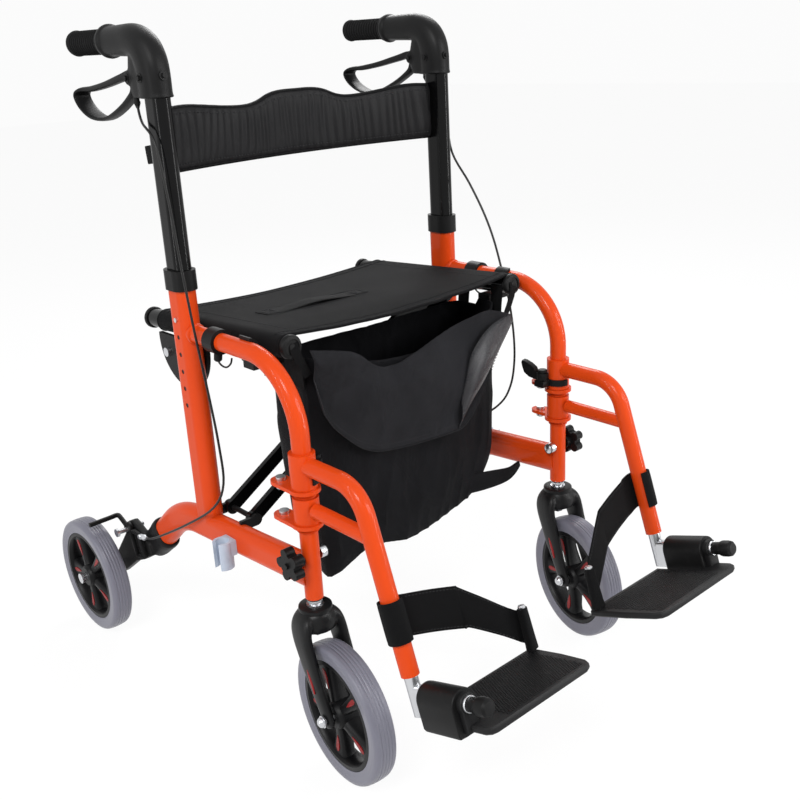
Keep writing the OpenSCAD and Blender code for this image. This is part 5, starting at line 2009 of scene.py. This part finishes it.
@dataclass
class Latch:
    """Fin-shaped latch lever of the footrest and the black clamp that carries it."""

    side: Side
    pivot: Triple = (0.225, -0.154, 0.4312)
    post: Triple = (0.252, -0.163, 0.4208)
    heading: float = math.radians(100.0)

    def build(self) -> None:
        """Makes the lever on its boss and the clamp round the sleeve."""
        fit(self.side, "latch_fin", self._fin(), PLASTIC, "latch_lever", "latch")
        fit(self.side, "latch_clamp", self._clamp(), PLASTIC, "footrest")

    def _fin(self) -> Shape:
        """Lever that rises from its boss to a blunt tip.

        Returns:
            The shape.
        """
        c, s = math.cos(self.heading), math.sin(self.heading)
        x, y, z = self.pivot
        thick = 0.0100
        at = Matrix(((c, 0, s, x - s * thick / 2), (s, 0, -c, y + c * thick / 2), (0, 1, 0, z),
                     (0, 0, 0, 1)))
        shape = Shape().slab([(-0.0085, 0.0), (0.010, 0.0), (0.022, 0.0026), (0.031, 0.0088),
                              (0.0345, 0.0180), (0.0362, 0.0250), (0.0345, 0.0285),
                              (0.0300, 0.0280), (0.0200, 0.0238), (0.0125, 0.0188),
                              (0.0088, 0.0116), (-0.0085, 0.0116)], thick, at, 0.0010)
        return shape.lathe([(0.0043, 0.0), (0.0086, 0.0), (0.0090, 0.0006), (0.0090, 0.0110),
                            (0.0084, 0.0116), (0.0043, 0.0116)], self.pivot, UP, 28)

    def _clamp(self) -> Shape:
        """Half band round the inner face of the sleeve, its block and the pin's cap.

        Returns:
            The shape.
        """
        shape, tall = Shape(), 0.0101
        x, y, z = self.post
        rings: list[Ring] = []
        for k in range(19):
            a = math.radians(92 + 176 * k / 18)
            c, s = math.cos(a), math.sin(a)
            rings.append([Vector((x + r * c, y + r * s, z + h)) for r, h in
                          ((0.0165, 0.0), (0.0198, 0.0), (0.0204, 0.0006), (0.0204, tall - 0.0006),
                           (0.0198, tall), (0.0165, tall))])
        shape.loft(rings)
        shape.slab([(x - 0.0362, y + 0.0002), (x - 0.0160, y + 0.0002), (x - 0.0100, y + 0.0180),
                    (x - 0.0362, y + 0.0180)], tall, Matrix.Translation((0, 0, z)), 0.0008)
        return shape.lathe([(0.0, 0.0), (0.0072, 0.0), (0.0076, 0.0006), (0.0076, 0.0040),
                            (0.0064, 0.0052), (0.0, 0.0056)],
                           (self.pivot[0], self.pivot[1], self.pivot[2] + 0.0119), UP, 24)


@dataclass
class Hardware:
    """Hole depths, weld beads, hook, adjuster, caps and rear wheel of one side."""

    side: Side
    x: float = 0.252
    rear_y: float = 0.090
    post_y: float = -0.163
    axle: Triple = (0.320, 0.395, 0.100)
    holes: tuple[float, ...] = field(default_factory=lambda: tuple(
        0.596 - 0.0254 * i for i in range(1, 6)))

    def build(self) -> None:
        """Makes all small pieces and seats them."""
        side, label, sign = self.side, self.side.label, self.side.value
        dark = Shape()
        for z in self.holes:
            dark.lathe([(0.0, 0.0), (0.0034, 0.0), (0.0034, 0.0012), (0.0, 0.0012)],
                       (self.x + 0.0132, self.rear_y, z), ACROSS, 20)
        fit(side, "hole_depths", dark, RIM, "frame")
        weld = Shape()
        weld.lathe([(0.0125, -0.003), (0.0142, -0.0022), (0.0150, 0.0), (0.0142, 0.0022),
                    (0.0125, 0.003)], (self.x, self.rear_y - 0.0245, 0.577), BACK, 32)
        for z in (0.3605, 0.4095):
            weld.lathe([(0.0125, 0.0052), (0.0148, 0.0052), (0.0136, 0.0068), (0.0125, 0.0076)],
                       (self.x, self.post_y, z - 0.0125), UP, 32)
        fit(side, "weld_beads", weld, ORANGE, "frame")
        hook = Shape().tube(smooth_path([(self.x, 0.014, 0.556), (self.x, 0.015, 0.548),
                                         (self.x, 0.006, 0.5425), (self.x, -0.006, 0.5430),
                                         (self.x, -0.017, 0.5505), (self.x, -0.021, 0.5585)], 5),
                            0.0013, 8)
        hook.lathe([(0.0, 0.0), (0.0052, 0.0), (0.0058, 0.001), (0.0058, 0.010), (0.0045, 0.0115),
                    (0.0, 0.012)], (self.x, 0.0125, 0.5595), (0, 0.25, -1), 20)
        fit(side, "wire_hook", hook, PLASTIC, "frame")
        gear = Shape().lathe([(0.0, 0.0), (0.0046, 0.0), (0.0046, 0.006), (0.0036, 0.007),
                              (0.0036, 0.013), (0.0050, 0.0135), (0.0050, 0.0175), (0.0030, 0.020),
                              (0.0024, 0.026), (0.0, 0.026)],
                             (0.2805, 0.2842, 0.1946), (0, -0.94, 0.2), 20)
        fit(side, "cable_adjuster", gear, STEEL, "frame")
        cap = Shape().lathe([(0.0, 0.0), (0.0074, 0.0), (0.0074, 0.0048), (0.0086, 0.0050),
                             (0.0086, 0.0066), (0.0070, 0.0068), (0.0068, 0.0088),
                             (0.0050, 0.0108), (0.0024, 0.0118), (0.0, 0.0120)],
                            (0.3386, *self.axle[1:]), ACROSS, 24)
        fit(side, "axle_cap", cap, STEEL, "frame")
        nut = Shape().lathe([(0.0, 0.0), (0.0083, 0.0), (0.0083, 0.0086), (0.0071, 0.0108),
                             (0.0040, 0.0120), (0.0, 0.0123)], (0.2386, self.post_y, 0.314),
                            (-1, 0, 0), 24)
        fit(side, "stud_nut", nut, STEEL, "star_knob")
        Wheel(f"{label}_rear", f"{label}_rear_wheel", (sign * self.axle[0], *self.axle[1:])).build()


def dress_nodes() -> None:
    """Gives every carried-over CAD node its finish."""
    for name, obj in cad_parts.items():
        finish = next(f for key, f in NODE_FINISHES.items() if name.endswith(key))
        obj.data.materials.clear()
        obj.data.materials.append(finish.material())
        for poly in obj.data.polygons:
            poly.material_index = 0


def main() -> None:
    """Builds the chair's looks in order."""
    logging.basicConfig(level=logging.INFO, format="%(name)s: %(message)s")
    studio = Studio()
    studio.camera()
    for side in Side:
        BrakeCable(side).build()
    dress_nodes()
    studio.lamps()
    studio.floor()
    for side, turn in ((Side.RIGHT, -5.7), (Side.LEFT, -14.4)):
        Handle(side).build()
        Caster(side, math.radians(turn)).build()
        HeelStrap(side).build()
        FootRest(side).build()
        RearBracket(side).build()
        Latch(side).build()
        Hardware(side).build()
    SeatSling().build()
    ShoppingBag().build()
    Backrest().build()


if __name__ == "__main__":
    main()
